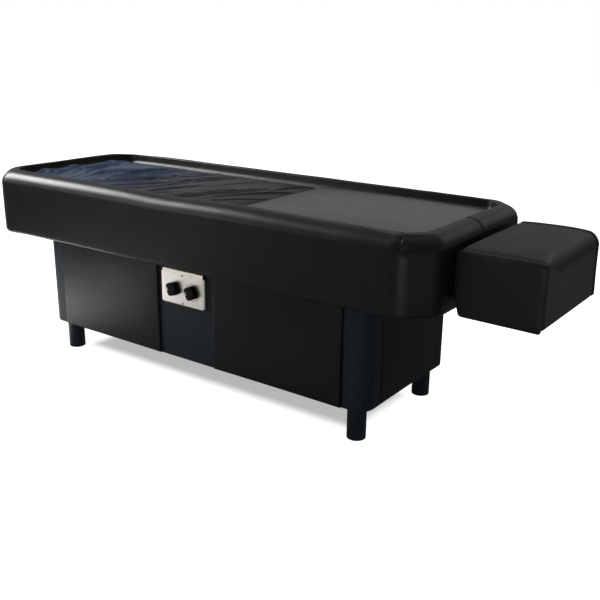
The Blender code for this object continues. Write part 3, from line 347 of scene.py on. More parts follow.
rim_aim = (TUB_HEAD + 0.4, 0.0, RIM_TOP)
softbox("head_softbox", (-4.6, -1.2, 3.2), rim_aim, (2.4, 2.2), 640.0, mirrored_only=True)
plate_aim = (TUB_MIDDLE, -TUB_SIDE, 0.45)
softbox("front_softbox", (-2.2, -2.5, 0.95), plate_aim, (1.1, 0.55), 15.0, mirrored_only=True)
foot_aim = (TUB_FOOT, 0.0, RIM_TOP)
softbox("back_softbox", (1.7, 4.6, 2.4), foot_aim, (2.2, 1.8), 6.5, mirrored_only=True)
overhead = softbox("overhead_softbox", (0.0, 0.2, 3.6), (TUB_MIDDLE, 0.0, RIM_TOP), (3.4, 2.4), 105.0)
overhead.visible_glossy = False

# %% [markdown]
# ## Upholstery vinyl
# The tub, the panels and the footrest wear PVC-coated cloth, embossed between rollers with a leather
# grain. The rollers leave shallow pebbles about 1.5 mm wide, so the skin is satin: dark, with soft wide
# highlights. The pebbles are cells of a Voronoi pattern pressed into the bump, and slow noise varies the
# gloss where hands polish it. The leg pad's cloth is charcoal with a fine mottle, and the footrest's is
# rougher from wear, so its highlights are wider and weaker.

# %% Vinyl finish
GLOSS_DRIFT = 0.05
HANDLED_MM = 70.0
PEBBLE_PRESS = -0.7
GRAIN_STRENGTH = 0.35
GRAIN_DEPTH = 0.00025


def embossed_vinyl(name, dark, light, roughness, grain_mm, specular, mottle_mm=260.0):
    """PVC leathercloth: pebbled, with colour and gloss that drift a little over the piece."""
    finish, tree, shader, place = new_finish(name, Specular_IOR_Level=specular)
    tone = two_tones(tree, lumps(tree, place, mottle_mm, 3.0), dark, light)
    handled = lumps(tree, place, HANDLED_MM, 4.0)
    gloss = between(tree, handled, roughness - GLOSS_DRIFT, roughness + GLOSS_DRIFT)
    feed(tree, shader, Base_Color=tone, Roughness=gloss)
    pebble = add_node(tree, "ShaderNodeTexVoronoi", {"feature": "SMOOTH_F1", "Scale": millimetres(grain_mm)},
                      {"Vector": place})
    crackle = lumps(tree, place, grain_mm * 3, 5.0)
    press = maths(tree, "MULTIPLY_ADD", pebble.outputs["Distance"], PEBBLE_PRESS, crackle)
    emboss(tree, shader, press, GRAIN_STRENGTH, GRAIN_DEPTH)
    return finish


BLACK_VINYL = embossed_vinyl("black_embossed_vinyl", "#101010", "#161616", 0.37, 1.5, 0.12)
PAD_VINYL = embossed_vinyl("charcoal_matt_vinyl", "#0f0f10", "#2e2e2f", 0.31, 1.1, 0.5, mottle_mm=8.0)
BLOCK_VINYL = embossed_vinyl("black_worn_vinyl", "#101010", "#161616", 0.47, 1.5, 0.15)
print("vinyls:", BLACK_VINYL.name, PAD_VINYL.name, BLOCK_VINYL.name)

# %% [markdown]
# ## Navy membrane film
# The sheet over the water is a thin coated film, calendered smooth. It is a deep blue at the head end,
# greyer and duller towards the pad. Beside the pad its colour is pulled towards near black: that is
# painted shade, standing in for the shadow in the gap between the rim's lip and the pad. The folds
# themselves are real geometry, so apart from that painted shade the finish only adds a slightly uneven
# gloss and a faint ripple.

# %% Membrane finish
BLUE_TO_GREY_RANGE = (-0.88, -0.35)
PAINTED_SHADE_RANGE = (-0.14, 0.03)
PAINTED_SHADE_AMOUNT = 0.85
SHINE_RANGE = (-0.75, -0.15)
FILM_SHINE = (0.20, 0.06)
FILM_GLOSS = (0.26, 0.40)
FILM_GLOSS_MM = 180.0
RIPPLE_MM = 9.0
RIPPLE_STRENGTH = 0.25
RIPPLE_DEPTH = 0.0008


def calendered_film():
    """Navy coated film, greyer towards the pad, with painted shade beside it and a smooth, faintly rippled
    gloss.
    """
    finish, tree, shader, place = new_finish("navy_calendered_film", Specular_Tint=srgb("#c3d2ee"))
    along = axis_part(tree, place, "X")
    tone = two_tones(tree, smooth_range(tree, along, *BLUE_TO_GREY_RANGE, 0.0, 1.0), "#243145", "#252427")
    # Painted shade: beside the pad the colour is pulled towards near black, standing in for the shadow there.
    painted_shade = smooth_range(tree, along, *PAINTED_SHADE_RANGE, 0.0, PAINTED_SHADE_AMOUNT)
    shaded = add_node(tree, "ShaderNodeMix", {"data_type": "RGBA", 7: srgb("#0d0e0f")}, {0: painted_shade, 6: tone})
    shine = smooth_range(tree, along, *SHINE_RANGE, *FILM_SHINE)
    gloss = between(tree, lumps(tree, place, FILM_GLOSS_MM, 4.0), *FILM_GLOSS)
    feed(tree, shader, Base_Color=shaded.outputs[2], Specular_IOR_Level=shine, Roughness=gloss)
    emboss(tree, shader, lumps(tree, place, RIPPLE_MM, 3.0), RIPPLE_STRENGTH, RIPPLE_DEPTH)
    return finish


FILM = calendered_film()
print("film:", FILM.name)

# %% [markdown]
# ## Boards, posts and legs
# The cabinet's bare parts are faced with a pressed laminate, blue-black and pebbled like sand. Its grain,
# about 1.2 mm across, is drawn twice that size so that it still shows at this distance. The legs are
# steel, powder-coated: the powder melts into a skin with a slight orange peel. Both are rough enough to
# look almost black, with a cold tint where light grazes them.

# %% Laminate and powder coat
def pebbled_skin(name, dark, light, roughness, grain_mm, relief_mm, specular):
    """A dark skin with an even, sand-like relief and a speckle of lighter crests."""
    finish, tree, shader, place = new_finish(name, Roughness=roughness, Specular_IOR_Level=specular)
    sand = lumps(tree, place, grain_mm, 2.0, Roughness=0.6)
    crest = add_node(tree, "ShaderNodeMapRange", {"From Min": 0.45, "From Max": 0.75}, {"Value": sand})
    feed(tree, shader, Base_Color=two_tones(tree, crest.outputs[0], dark, light))
    emboss(tree, shader, sand, 0.6, relief_mm / 1000.0)
    return finish


LAMINATE = pebbled_skin("pebbled_pressed_laminate", "#0e151a", "#2a3844", 0.55, 2.4, 0.4, 0.14)
LEG_COAT = pebbled_skin("black_powder_coat", "#182026", "#222e35", 0.42, 1.6, 0.15, 0.15)
print("skins:", LAMINATE.name, LEG_COAT.name)

# %% [markdown]
# ## Brushed stainless steel
# The control plate is brushed with a belt along its length. The scratches are far finer than a pixel, so
# they are drawn about ten times too coarse, as noise stretched along X; they make the highlight smear
# across the grain.

# %% Metal finishes
BRUSH_GLOSS_DRIFT = 0.08


def brushed_metal(name, dark, light, roughness, stretch):
    """Metal with a one-way grain: stretch gives the pattern's size in mm along X, Y and Z."""
    finish, tree, shader, place = new_finish(name, Metallic=1.0)
    grain = add_node(tree, "ShaderNodeMapping", {"Scale": tuple(millimetres(s) for s in stretch)},
                     {"Vector": place})
    lines = add_node(tree, "ShaderNodeTexNoise", {"Scale": 1.0, "Detail": 4.0},
                     {"Vector": grain.outputs[0]}).outputs["Fac"]
    gloss = between(tree, lines, roughness - BRUSH_GLOSS_DRIFT, roughness + BRUSH_GLOSS_DRIFT)
    feed(tree, shader, Base_Color=two_tones(tree, lines, dark, light), Roughness=gloss)
    emboss(tree, shader, lines, 0.12, 0.0002)
    return finish


STAINLESS = brushed_metal("brushed_stainless_steel", "#c9c4bd", "#e6e2dc", 0.32, (60.0, 4.0, 1.6))
DRAWN_STEEL = brushed_metal("drawn_zinc_plated_steel", "#9a9a9c", "#b9babb", 0.38, (40.0, 3.0, 3.0))
BRASS = brushed_metal("cast_machined_brass", "#b08d4a", "#c9a760", 0.35, (5.0, 5.0, 5.0))
print("metals:", STAINLESS.name, DRAWN_STEEL.name, BRASS.name)

# %% [markdown]
# ## Moulded plastics, rubber and enamel
# Knobs are ABS from a spark-eroded mould, which leaves a fine even frost. The tank and pipes are
# rotomoulded polyethylene, waxy and slightly mottled. The motors are sprayed with enamel that dries a
# little lumpy. The knobs' ivory patches, blackened steel and an engraved line have the same kind of even
# skin, so the same function makes them.

# %% Plastic, rubber and enamel finishes
def moulded(name, dark, light, roughness, grain_mm, relief_mm, specular=0.5):
    """A moulded or sprayed skin: slight mottle in the colour and a fine, even relief."""
    finish, tree, shader, place = new_finish(name, Roughness=roughness, Specular_IOR_Level=specular)
    mottle = lumps(tree, place, grain_mm * 12, 4.0)
    feed(tree, shader, Base_Color=two_tones(tree, mottle, dark, light))
    emboss(tree, shader, lumps(tree, place, grain_mm, 2.0), 0.4, relief_mm / 1000.0)
    return finish


KNOB_ABS = moulded("moulded_black_abs", "#060708", "#0a0c0e", 0.30, 0.6, 0.03, 0.06)
IVORY_PATCH_SKIN = moulded("moulded_ivory_patch", "#b9bba6", "#c6c8b4", 0.5, 0.8, 0.02)
TANK_PE = moulded("rotomoulded_polyethylene", "#c6cbcc", "#d6dadb", 0.45, 3.0, 0.15)
NYLON = moulded("moulded_dark_nylon", "#2b2c2e", "#333537", 0.5, 0.8, 0.05)
ENAMEL = moulded("sprayed_motor_enamel", "#56626b", "#606d76", 0.4, 2.5, 0.08)
RUBBER = moulded("moulded_black_rubber", "#1a1a1a", "#222222", 0.75, 1.0, 0.08, 0.35)
OXIDE_STEEL = moulded("black_oxide_steel", "#101011", "#181819", 0.45, 0.8, 0.02, 0.3)
ENGRAVED = moulded("engraved_bronze_line", "#98805f", "#a98f6c", 0.5, 0.8, 0.02)
MOULDED = (KNOB_ABS, IVORY_PATCH_SKIN, TANK_PE, NYLON, ENAMEL, RUBBER, OXIDE_STEEL, ENGRAVED)
print("plastics and coats:", [skin.name for skin in MOULDED])

# %% [markdown]
# ## Birch plywood
# The deck, the tub's boards and the bridge under the pad are bare plywood, rotary-peeled from the log, so
# the face shows wide, wandering grain. On the edges the glued plies show as stripes 1.5 mm thick. A
# board's thickness runs along X, Y or Z, so the finish is made once for each.

# %% Plywood finishes
PLY_MM = 1.5


def birch_plywood(axis):
    """Peeled birch faces with ply stripes counted through the board along one axis."""
    finish, tree, shader, place = new_finish("birch_plywood_" + axis.lower(), Roughness=0.62)
    stretch = {a: 12.0 if a == axis else 90.0 for a in "XYZ"}
    wander = add_node(tree, "ShaderNodeMapping", {"Scale": tuple(millimetres(stretch[a]) for a in "XYZ")},
                      {"Vector": place})
    grain = add_node(tree, "ShaderNodeTexNoise", {"Scale": 1.0, "Detail": 6.0, "Distortion": 1.2},
                     {"Vector": wander.outputs[0]})
    face = two_tones(tree, grain.outputs["Fac"], "#c79e69", "#dcbb8a")
    count = maths(tree, "MULTIPLY", axis_part(tree, place, axis), millimetres(2 * PLY_MM))
    stripe = add_node(tree, "ShaderNodeMapRange", {"From Min": 0.22, "From Max": 0.28, "To Max": 0.45},
                      {"Value": maths(tree, "PINGPONG", count, 0.5)})
    normal = add_node(tree, "ShaderNodeNewGeometry").outputs["Normal"]
    turned = maths(tree, "ABSOLUTE", axis_part(tree, normal, axis))
    edge = maths(tree, "LESS_THAN", turned, 0.5)
    shade = maths(tree, "MULTIPLY", stripe.outputs[0], edge)
    tone = add_node(tree, "ShaderNodeMix", {"data_type": "RGBA", 7: srgb("#7b5531")}, {0: shade, 6: face})
    feed(tree, shader, Base_Color=tone.outputs[2])
    return finish


PLYWOOD = {axis: birch_plywood(axis) for axis in "XYZ"}
print("plywood for boards facing", list(PLYWOOD))

# %% [markdown]
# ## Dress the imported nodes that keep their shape
# Boards, rails, pipes, motors and pulleys are already right, so they only swap their plain colour for a
# finish.

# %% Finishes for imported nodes
DRESSED = (
    (LAMINATE, ("base_floor", "carcass_front", "carcass_back", "carcass_head", "carcass_foot")),
    (PLYWOOD["Z"], ("tub_deck", "pad_bridge")),
    (PLYWOOD["Y"], ("tub_wall_front", "tub_wall_back")),
    (PLYWOOD["X"], ("tub_wall_head", "tub_wall_foot")),
    (TANK_PE, ("tank", "tank_flange", "jet_bar", "suction_pipe", "discharge_pipe")),
    (DRAWN_STEEL, ("membrane_frame", "rail_front", "rail_back", "idler_pin")),
    (OXIDE_STEEL, ("footrest_hanger", "tub_cleat")),
    (NYLON, ("jet_carriage", "drive_pulley", "idler_pulley", "pump_volute", "timer_body", "pressure_body",
             "power_inlet")),
    (ENAMEL, ("drive_motor", "pump_motor")),
    (RUBBER, ("drive_belt", "jet_hose")),
    (BRASS, ("pump_impeller", "drain_valve")),
    (KNOB_ABS, ("drain_lever",)),
)
for finish, names in DRESSED:
    for name in names:
        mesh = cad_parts[name].data
        mesh.materials.clear()
        mesh.materials.append(finish)
print("dressed", sum(len(names) for _, names in DRESSED), "packed nodes")

# %% [markdown]
# ## Tools for making pieces
# Most soft pieces here are nets of points worked out by formulas, because a formula gives the same shape
# each time and keeps a seam exactly where it belongs. These helpers turn points into an object, join nets
# with four-sided faces, and bend a straight edge into an arc.

# %% Mesh helpers
def build_piece(name, points, faces, finish, body="table", stands_for=()):
    """An object made of points in frame metres, with its finish, its body and the nodes it stands for."""
    mesh = bpy.data.meshes.new(name)
    mesh.from_pydata([tuple(point) for point in points], [], faces)
    bm = bmesh.new()
    bm.from_mesh(mesh)
    bmesh.ops.recalc_face_normals(bm, faces=bm.faces)
    bm.to_mesh(mesh)
    bm.free()
    mesh.materials.append(finish)
    mesh.shade_smooth()
    piece = bpy.data.objects.new(name, mesh)
    bpy.context.scene.collection.objects.link(piece)
    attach(piece, body)
    if stands_for:
        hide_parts(*stands_for)
    return piece


def net_faces(rows, columns, close_rows=False, close_columns=True, start=0):
    """Four-sided faces over rows of points, each row closed on itself or open."""
    faces = []
    for row in range(rows if close_rows else rows - 1):
        after = (row + 1) % rows
        for column in range(columns if close_columns else columns - 1):
            beside = (column + 1) % columns
            corners = ((row, column), (row, beside), (after, beside), (after, column))
            faces.append(tuple(start + r * columns + c for r, c in corners))
    return faces


def stack(name, rings, finish, body="table", stands_for=()):
    """A closed piece made of rings of points, one after another, with a flat cap at each end."""
    columns = len(rings[0])
    points = [point for ring in rings for point in ring]
    faces = net_faces(len(rings), columns)
    faces += [tuple(range(columns)), tuple(range(len(points) - columns, len(points)))]
    return build_piece(name, points, faces, finish, body, stands_for)


def arc(centre, radius, begin, end, steps):
    """Points along an arc, angles in degrees."""
    angles = np.radians(np.linspace(begin, end, steps + 1))
    return [(centre[0] + radius * math.cos(a), centre[1] + radius * math.sin(a)) for a in angles]


def ease(low, high, value):
    """A smooth step from 0 at low to 1 at high."""
    share = np.clip((value - low) / (high - low), 0.0, 1.0)
    return share * share * (3.0 - 2.0 * share)


def hump(offset, width):
    """A bell curve of height one."""
    return np.exp(-np.square(offset / width))


def drift(points, size, seed):
    """Smooth noise from -1 to 1 at each point, for hollows and swells of about that size in metres."""
    shift = Vector((seed * 7.31, seed * 3.77, seed * 5.13))
    return np.array([noise.noise(Vector(point) / size + shift) for point in points])


def uneven(points, *waves):
    """The slow unevenness of hand-pulled cloth, in metres: each wave has a height, a size and a seed."""
    return sum(height * drift(points, size, seed) for height, size, seed in waves)


# %% [markdown]
# ## The padded surround
# One cover wraps the tub: a straight skirt, a round outer edge, a nearly flat crown that ends in a small
# lip, and a face that drops to the well. At the corner between the front and the foot end the upholsterer
# takes up spare cloth in a dart, which starts at the inner edge and dies out on the round, with a small
# nub of bunched foam below it and creases along the rim. The foot end has one sewn seam across the rim. A
# sweep does it: a section is drawn once, carried round the tub's plan, and pressed in or swelled out
# where the dart, seam and creases lie.

# %% Section of the surround
SKIRT = 0.026
SKIRT_BACK_GAP = 0.010
SKIRT_BACK_STEP = 0.034
SKIRT_EDGE = 0.010
SKIRT_BELLY = 0.0015
OUTER_ROLL = 0.044
CROWN_ROLL = 0.10
CROWN_TURN = 12.0
CREST_RISE = 0.0018
LIP_ROLL = 0.0045
LIP_SLANT = 0.0025
LIP_EDGE = 0.0627
LIP_FOOT = RIM_TOP - 0.025
RIM_FOOT = 0.078
RIM_UNDER = PAD_LOW.z
RIM_UNDER_STEP = 0.013


def straight(begin, end, steps):
    """Points along a straight line, without its first one."""
    return [tuple(np.array(begin) + (np.array(end) - begin) * step / steps) for step in range(1, steps + 1)]


def outward(loop):
    """The outward direction at each point of a closed loop that runs clockwise."""
    ahead = np.roll(loop, -1, axis=0) - np.roll(loop, 1, axis=0)
    return np.stack([-ahead[:, 1], ahead[:, 0]], axis=1) / np.linalg.norm(ahead, axis=1)[:, None]


def surround_section():
    """Points (distance in from the outer face, height), clockwise from behind the skirt."""
    points = [(SKIRT, RIM_UNDER - SKIRT_BACK_GAP - SKIRT_BACK_STEP * step) for step in range(6)]
    points += arc((SKIRT_EDGE, SKIRT_BOTTOM + SKIRT_EDGE), SKIRT_EDGE, 270.0, 180.0, 7)
    turn = math.radians(CROWN_TURN)
    top = RIM_TOP + CREST_RISE
    roll_middle = top - CROWN_ROLL * (1.0 - math.cos(turn)) - OUTER_ROLL * math.cos(turn)
    crown_middle = OUTER_ROLL + (CROWN_ROLL - OUTER_ROLL) * math.sin(turn)
    points += straight(points[-1], (0.0, roll_middle), 17)[:-1]
    points += arc((OUTER_ROLL, roll_middle), OUTER_ROLL, 180.0, 90.0 + CROWN_TURN, 17)
    points += arc((crown_middle, top - CROWN_ROLL), CROWN_ROLL, 90.0 + CROWN_TURN, 89.0, 10)[1:]
    points += arc((LIP_EDGE - LIP_ROLL, top - LIP_ROLL), LIP_ROLL, 80.0, 0.0, 8)
    points += straight(points[-1], (LIP_EDGE + LIP_SLANT, LIP_FOOT), 3)
    points += straight(points[-1], (RIM_FOOT, RIM_UNDER), 8)
    points += [(RIM_FOOT - RIM_UNDER_STEP * step, RIM_UNDER) for step in range(1, 4)]
    return np.array(points)


SECTION = surround_section()
SECTION_OUT = outward(SECTION)
print("surround section:", len(SECTION), "points")

# %% Plan of the surround
PLAN_ROUND = (0.085, 0.085, 0.055, 0.060, 0.070, 0.110, 0.100, 0.085)
PLAN_ROUND_INNER = 0.030
ROUND_LOSS = 0.6
HALF_TURN = math.tan(math.radians(22.5))
CORNER_STEPS = 40
CORNER_CROWDING = 1.5
SIDE_STEPS = {0: 190, 4: 190, 6: 60}
FACET_STEPS = 12
DART_CORNER = 1
SEAM_SIDE = 2
FAR_CORNER = 5
SWELL_CORNER = 7


def plan_corners(inset):
    """The eight corners of the tub's plan, moved in, anticlockwise from the front's head end."""
    x = (TUB_FOOT - TUB_HEAD) / 2 - inset
    y = TUB_SIDE - inset
    clip = TUB_CORNER - inset * (2.0 - math.sqrt(2.0))
    corners = ((clip - x, -y), (x - clip, -y), (x, clip - y), (x, y - clip),
               (x - clip, y), (clip - x, y), (-x, y - clip), (-x, clip - y))
    return [Vector((TUB_MIDDLE + a, b)) for a, b in corners]


def plan_point(corner, share, on_corner, inset):
    """A point on the plan: part of the way round a rounded corner, or along the side after it."""
    corners = plan_corners(inset)
    radius = max(PLAN_ROUND[corner] - ROUND_LOSS * inset, PLAN_ROUND_INNER)
    radius_after = max(PLAN_ROUND[(corner + 1) % 8] - ROUND_LOSS * inset, PLAN_ROUND_INNER)
    back_off = radius * HALF_TURN
    here, after = corners[corner], corners[(corner + 1) % 8]
    leave = (after - here).normalized()
    if not on_corner:
        begin = here + leave * back_off
        end = after - leave * radius_after * HALF_TURN
        return begin + (end - begin) * share
    arrive = (here - corners[corner - 1]).normalized()
    centre = here - arrive * back_off + Vector((-arrive.y, arrive.x)) * radius
    angle = math.atan2(-arrive.x, arrive.y) + math.radians(45.0) * share
    return centre + Vector((math.cos(angle), math.sin(angle))) * radius


def side_steps(corner):
    """Shares along a side of the plan, close together at the foot end's seam."""
    if corner == SEAM_SIDE:
        far = 0.5 - np.geomspace(0.5, 0.002, 46)
        return np.concatenate([far[1:], [0.5], 1.0 - far[::-1][:-1]])
    return np.linspace(0.0, 1.0, SIDE_STEPS.get(corner, FACET_STEPS))[1:-1]


RIM_LINE = 0.040
even = np.linspace(-1.0, 1.0, CORNER_STEPS + 1)
CORNER_SHARES = 0.5 + 0.5 * np.sign(even) * np.abs(even) ** CORNER_CROWDING
STATIONS = []
for corner in range(8):
    STATIONS += [(corner, share, True) for share in CORNER_SHARES]
    STATIONS += [(corner, share, False) for share in side_steps(corner)]
rim_line = [plan_point(*station, RIM_LINE) for station in STATIONS]
steps = [0.0] + [(b - a).length for a, b in zip(rim_line, rim_line[1:])]
ALONG = np.cumsum(steps)
LOOP_LENGTH = ALONG[-1] + (rim_line[0] - rim_line[-1]).length
DART = ALONG[STATIONS.index((DART_CORNER, 0.5, True))]
SEAM = ALONG[STATIONS.index((SEAM_SIDE, 0.5, False))]
SWELL = ALONG[STATIONS.index((SWELL_CORNER, 0.5, True))]
print(f"surround plan: {len(STATIONS)} stations, {LOOP_LENGTH:.2f} m round, dart at {DART:.2f} m")

# %% Press the dart, the seam and the creases into the surround
DART_WIDTH = 0.0012
DART_DEPTH = 0.0045
DART_END = 0.022
DART_SHOULDER = 0.0013
DART_SHOULDER_AWAY = 0.011
DART_SHOULDER_WIDTH = 0.007
NUB_RISE = 0.0070
NUB_AWAY = 0.010
NUB_WIDTH = 0.007
NUB_HEIGHT = 0.008
NUB_BELOW = 0.014
CREASE_DEPTH = 0.0012
CREASE_WIDTH = 0.0050
CREASE_INSET = 0.016
CREASE_WANDER = 0.030
CREASE_INSET_ON_FACET = 0.024
CREASE_LENGTH = 0.25
CREASE_LENGTH_ON_FACET = 0.16
CREASE_BAND = 0.014
CREASE_RIDGE = 0.0016
CREASE_RIDGE_AWAY = 0.012
CREASE_RIDGE_WIDTH = 0.006
SEAM_DEPTH = 0.0022
SEAM_WIDTH = 0.0013
SEAM_SHOULDER = 0.0010
SEAM_SHOULDER_AWAY = 0.005
SEAM_SHOULDER_WIDTH = 0.003
HEAD_SWELL = 0.007
HEAD_SWELL_REACH = 0.14
CREST_WAVES = ((0.17, 0.15, 0.003), (-0.20, 0.12, -0.003))
FAR_CORNER_SAG = 0.0055
FAR_CORNER_REACH = 0.15
FRONT_ONLY = -0.2


def from_line(line):
    """Signed distance of every station from a line across the rim, the short way round."""
    return (ALONG - line + LOOP_LENGTH / 2) % LOOP_LENGTH - LOOP_LENGTH / 2


def dart_relief(inset, height, top, outside):
    """The dart's groove and shoulders, the nub below it, and the creases that leave it along the rim."""
    d = from_line(DART)[None, :]
    relief = -DART_DEPTH * top * hump(d, DART_WIDTH)
    relief += DART_SHOULDER * top * hump(np.abs(d) - DART_SHOULDER_AWAY, DART_SHOULDER_WIDTH)
    nub_level = RIM_TOP - DART_END - NUB_BELOW
    nub_place = hump(d - NUB_AWAY, NUB_WIDTH) * hump(height - nub_level, NUB_HEIGHT) * outside
    relief += NUB_RISE * nub_place
    on_facet = d > 0
    reach = np.where(on_facet, CREASE_LENGTH_ON_FACET, CREASE_LENGTH)
    away = 1.0 - ease(0.0, reach, np.abs(d))
    wander = CREASE_INSET + CREASE_WANDER * ease(0.0, CREASE_LENGTH, np.abs(d))
    from_crease = inset - np.where(on_facet, CREASE_INSET_ON_FACET, wander)
    on_crown = height > RIM_TOP - CREASE_BAND
    relief -= CREASE_DEPTH * away * hump(from_crease, CREASE_WIDTH) * on_crown
    relief += CREASE_RIDGE * away * hump(from_crease - CREASE_RIDGE_AWAY, CREASE_RIDGE_WIDTH) * on_crown
    return relief


def surround_relief():
    """How far each point of the cover stands out, in metres: one row per section point."""
    inset, height = SECTION[:, :1], SECTION[:, 1:]
    faces_up = SECTION_OUT[:, 1:] > -0.2
    top = ease(RIM_TOP - DART_END, RIM_TOP - 0.010, height) * faces_up
    outside = inset < OUTER_ROLL
    relief = dart_relief(inset, height, top, outside)
    d = from_line(SEAM)[None, :]
    over_rim = faces_up * ease(RIM_UNDER, RIM_UNDER + 0.01, height)
    relief -= SEAM_DEPTH * over_rim * hump(d, SEAM_WIDTH)
    relief += SEAM_SHOULDER * over_rim * hump(np.abs(d) - SEAM_SHOULDER_AWAY, SEAM_SHOULDER_WIDTH)
    d = from_line(SWELL)[None, :]
    upright = 1.0 - np.clip(SECTION_OUT[:, 1:], 0.0, 1.0)
    relief += HEAD_SWELL * outside * upright * hump(d, HEAD_SWELL_REACH)
    belly = np.sin(np.clip((height - SKIRT_BOTTOM) / (RIM_TOP - SKIRT_BOTTOM), 0, 1) * math.pi)
    relief += SKIRT_BELLY * belly * (inset < 0.001)
    return relief


def crest_lift(flat):
    """How far the crest is off its level: waves along the front, and a sag at the far head corner."""
    x, y = np.array(flat)[:, 0], np.array(flat)[:, 1]
    lift = np.zeros(len(x))
    for place, width, rise in CREST_WAVES:
        lift += rise * hump(x - place, width) * (y < FRONT_ONLY)
    corner = plan_corners(0.0)[FAR_CORNER]
    return lift - FAR_CORNER_SAG * hump(np.hypot(x - corner.x, y - corner.y), FAR_CORNER_REACH)


def surround_cover():
    """Sweep the section round the plan, with its relief and the slow unevenness of hand-pulled cloth."""
    relief = surround_relief()
    points = []
    for row, (inset, height) in enumerate(SECTION.tolist()):
        flat = [(*plan_point(*station, inset), height) for station in STATIONS]
        shows = 0.0 if inset == SKIRT or height == RIM_UNDER else 1.0
        swell = uneven(flat, (0.0014, 0.24, 1), (0.0004, 0.07, 2))
        inward, upward = SECTION_OUT[row].tolist()
        out = (relief[row] + swell + crest_lift(flat) * max(upward, 0.0)) * shows
        for station, lift in zip(STATIONS, out.tolist()):
            points.append((*plan_point(*station, inset + inward * lift), height + upward * lift))
    faces = net_faces(len(SECTION), len(STATIONS), close_rows=True)
    bolsters = ("front_bolster", "back_bolster", "head_bolster", "foot_bolster")
    cover = build_piece("surround_cover", points, faces, BLACK_VINYL, stands_for=bolsters)
    return cover


cover = surround_cover()
print("surround cover:", len(cover.data.polygons), "faces")

# %% [markdown]
# ## Crowned pads
# The panels and the leg pad are foam under cloth: a crowned face, a rolled edge, and sides. One function
# makes them. It lays a net over the face and another over the back, and joins their edges by rings that
# follow a profile down the side. What differs is the plan, the profile and how the face swells.

# %% Pad maker
CLOSER_AT_EDGE = 0.35


def pad_net(plan, profile, face, back, cells):
    """Points and faces of a closed pad. plan(s, t, inset) gives a place for s and t from -1 to 1.

    profile lists (inset, height) down the side, face and back give the heights over the two nets.
    """
    evenly = [np.linspace(-1, 1, count + 1) for count in cells]
    across, along = [np.sin(row * math.pi / 2) * CLOSER_AT_EDGE + row * (1.0 - CLOSER_AT_EDGE)
                     for row in evenly]
    rim = [(i, 0) for i in range(len(across))] + [(len(across) - 1, j) for j in range(1, len(along))]
    rim += [(i, len(along) - 1) for i in range(len(across) - 2, -1, -1)]
    rim += [(0, j) for j in range(len(along) - 2, 0, -1)]
    points, faces, edges = [], [], []
    for inset, height in ((profile[0][0], face), (profile[-1][0], back)):
        start = len(points)
        points += [(*plan(s, t, inset), height(s, t)) for s in across for t in along]
        faces += net_faces(len(across), len(along), close_columns=False, start=start)
        edges.append([start + i * len(along) + j for i, j in rim])
    loops = [edges[0]]
    for inset, height in profile[1:-1]:
        loops.append(range(len(points), len(points) + len(rim)))
        points += [(*plan(across[i], along[j], inset), height) for i, j in rim]
    loops.append(edges[1])
    for upper, lower in zip(loops, loops[1:]):
        for place in range(len(rim)):
            after = (place + 1) % len(rim)
            faces.append((upper[place], upper[after], lower[after], lower[place]))
    return np.array(points), faces


def rolled_edge(radius, top, steps):
    """Profile of a quarter-round edge, from the face down to the side."""
    return [(radius - r, top - radius + h) for r, h in arc((0.0, 0.0), radius, 90.0, 0.0, steps)]


# %% [markdown]
# ## Cabinet panels
# Six thin boards, each with a skin of foam and vinyl pulled round its edges. Their faces are nearly flat,
# so what tells the eye they are padded is the soft edge and a slow unevenness. They are drawn lying flat
# and then stood against the cabinet, facing away from its middle.

# %% Panels
PANEL_EDGE = 0.0048
PANEL_CROWN = 0.0018
PANEL_DRAW = 0.0010


def cabinet_panel(node):
    """A padded panel in the place of a packed one."""
    low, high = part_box(node)
    middle = (low + high) / 2
    size = high - low
    facing_x = size.x < size.y
    width, height, depth = (size.y if facing_x else size.x), size.z, min(size.x, size.y)
    out = math.copysign(1.0, (middle.x - TUB_MIDDLE) if facing_x else middle.y)

    def plan(s, t, inset):
        u = s * (width / 2 - inset - PANEL_DRAW * (1 - t * t))
        return u, t * (height / 2 - inset - PANEL_DRAW * (1 - s * s))

    def face(s, t):
        return depth - PANEL_CROWN + PANEL_CROWN * (1 - s ** 4) * (1 - t ** 4)

    profile = rolled_edge(PANEL_EDGE, depth - PANEL_CROWN, 6) + [(0.0, 0.0005), (0.0006, 0.0)]
    points, faces = pad_net(plan, profile, face, lambda s, t: 0.0, (44, 30))
    raised = ease(depth * 0.5, depth * 0.9, points[:, 2])
    points[:, 2] += raised * uneven(points + np.array(middle), (0.0006, 0.16, 3), (0.00025, 0.05, 4))
    u, v, w = points.T
    if facing_x:
        base = low.x if out > 0 else high.x
        placed = np.stack([base + out * w, middle.y + out * u, middle.z + v], axis=1)
    else:
        base = low.y if out > 0 else high.y
        placed = np.stack([middle.x - out * u, base + out * w, middle.z + v], axis=1)
    panel = build_piece(node.replace("_panel", "_cushion"), placed, faces, BLACK_VINYL,
                        stands_for=(node,))
    return panel


PANELS = [cabinet_panel(node) for node in sorted(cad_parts) if node.endswith("_panel")]
print("panels:", [panel.name for panel in PANELS])

# %% [markdown]
# ## The leg pad
# A loose pad of firm foam in charcoal vinyl lies in the foot end of the well. Its head corners are
# rounded and its foot corners are cut to follow the clipped plan. It is flat underneath, where it lies on
# its board.

# %% Leg pad
PAD_EDGE = 0.009
PAD_CROWN = 0.016
PAD_CROWN_PACKED = 0.006
PAD_ROUND = 0.060
PAD_SETTLE = 0.0008
PAD_CLIP = TUB_CORNER - RIM_FOOT * (2.0 - math.sqrt(2.0)) + 0.004


def pad_half_width(x, inset):
    """Half the pad's width at a distance along it, less at the rounded head and the clipped foot."""
    half = PAD_HIGH.y - inset
    from_head = x - (PAD_LOW.x + inset)
    from_foot = PAD_HIGH.x - inset - x
    if from_head < PAD_ROUND:
        half -= PAD_ROUND - math.sqrt(max(PAD_ROUND ** 2 - (PAD_ROUND - from_head) ** 2, 0.0))
    return half - max(0.0, PAD_CLIP - from_foot)


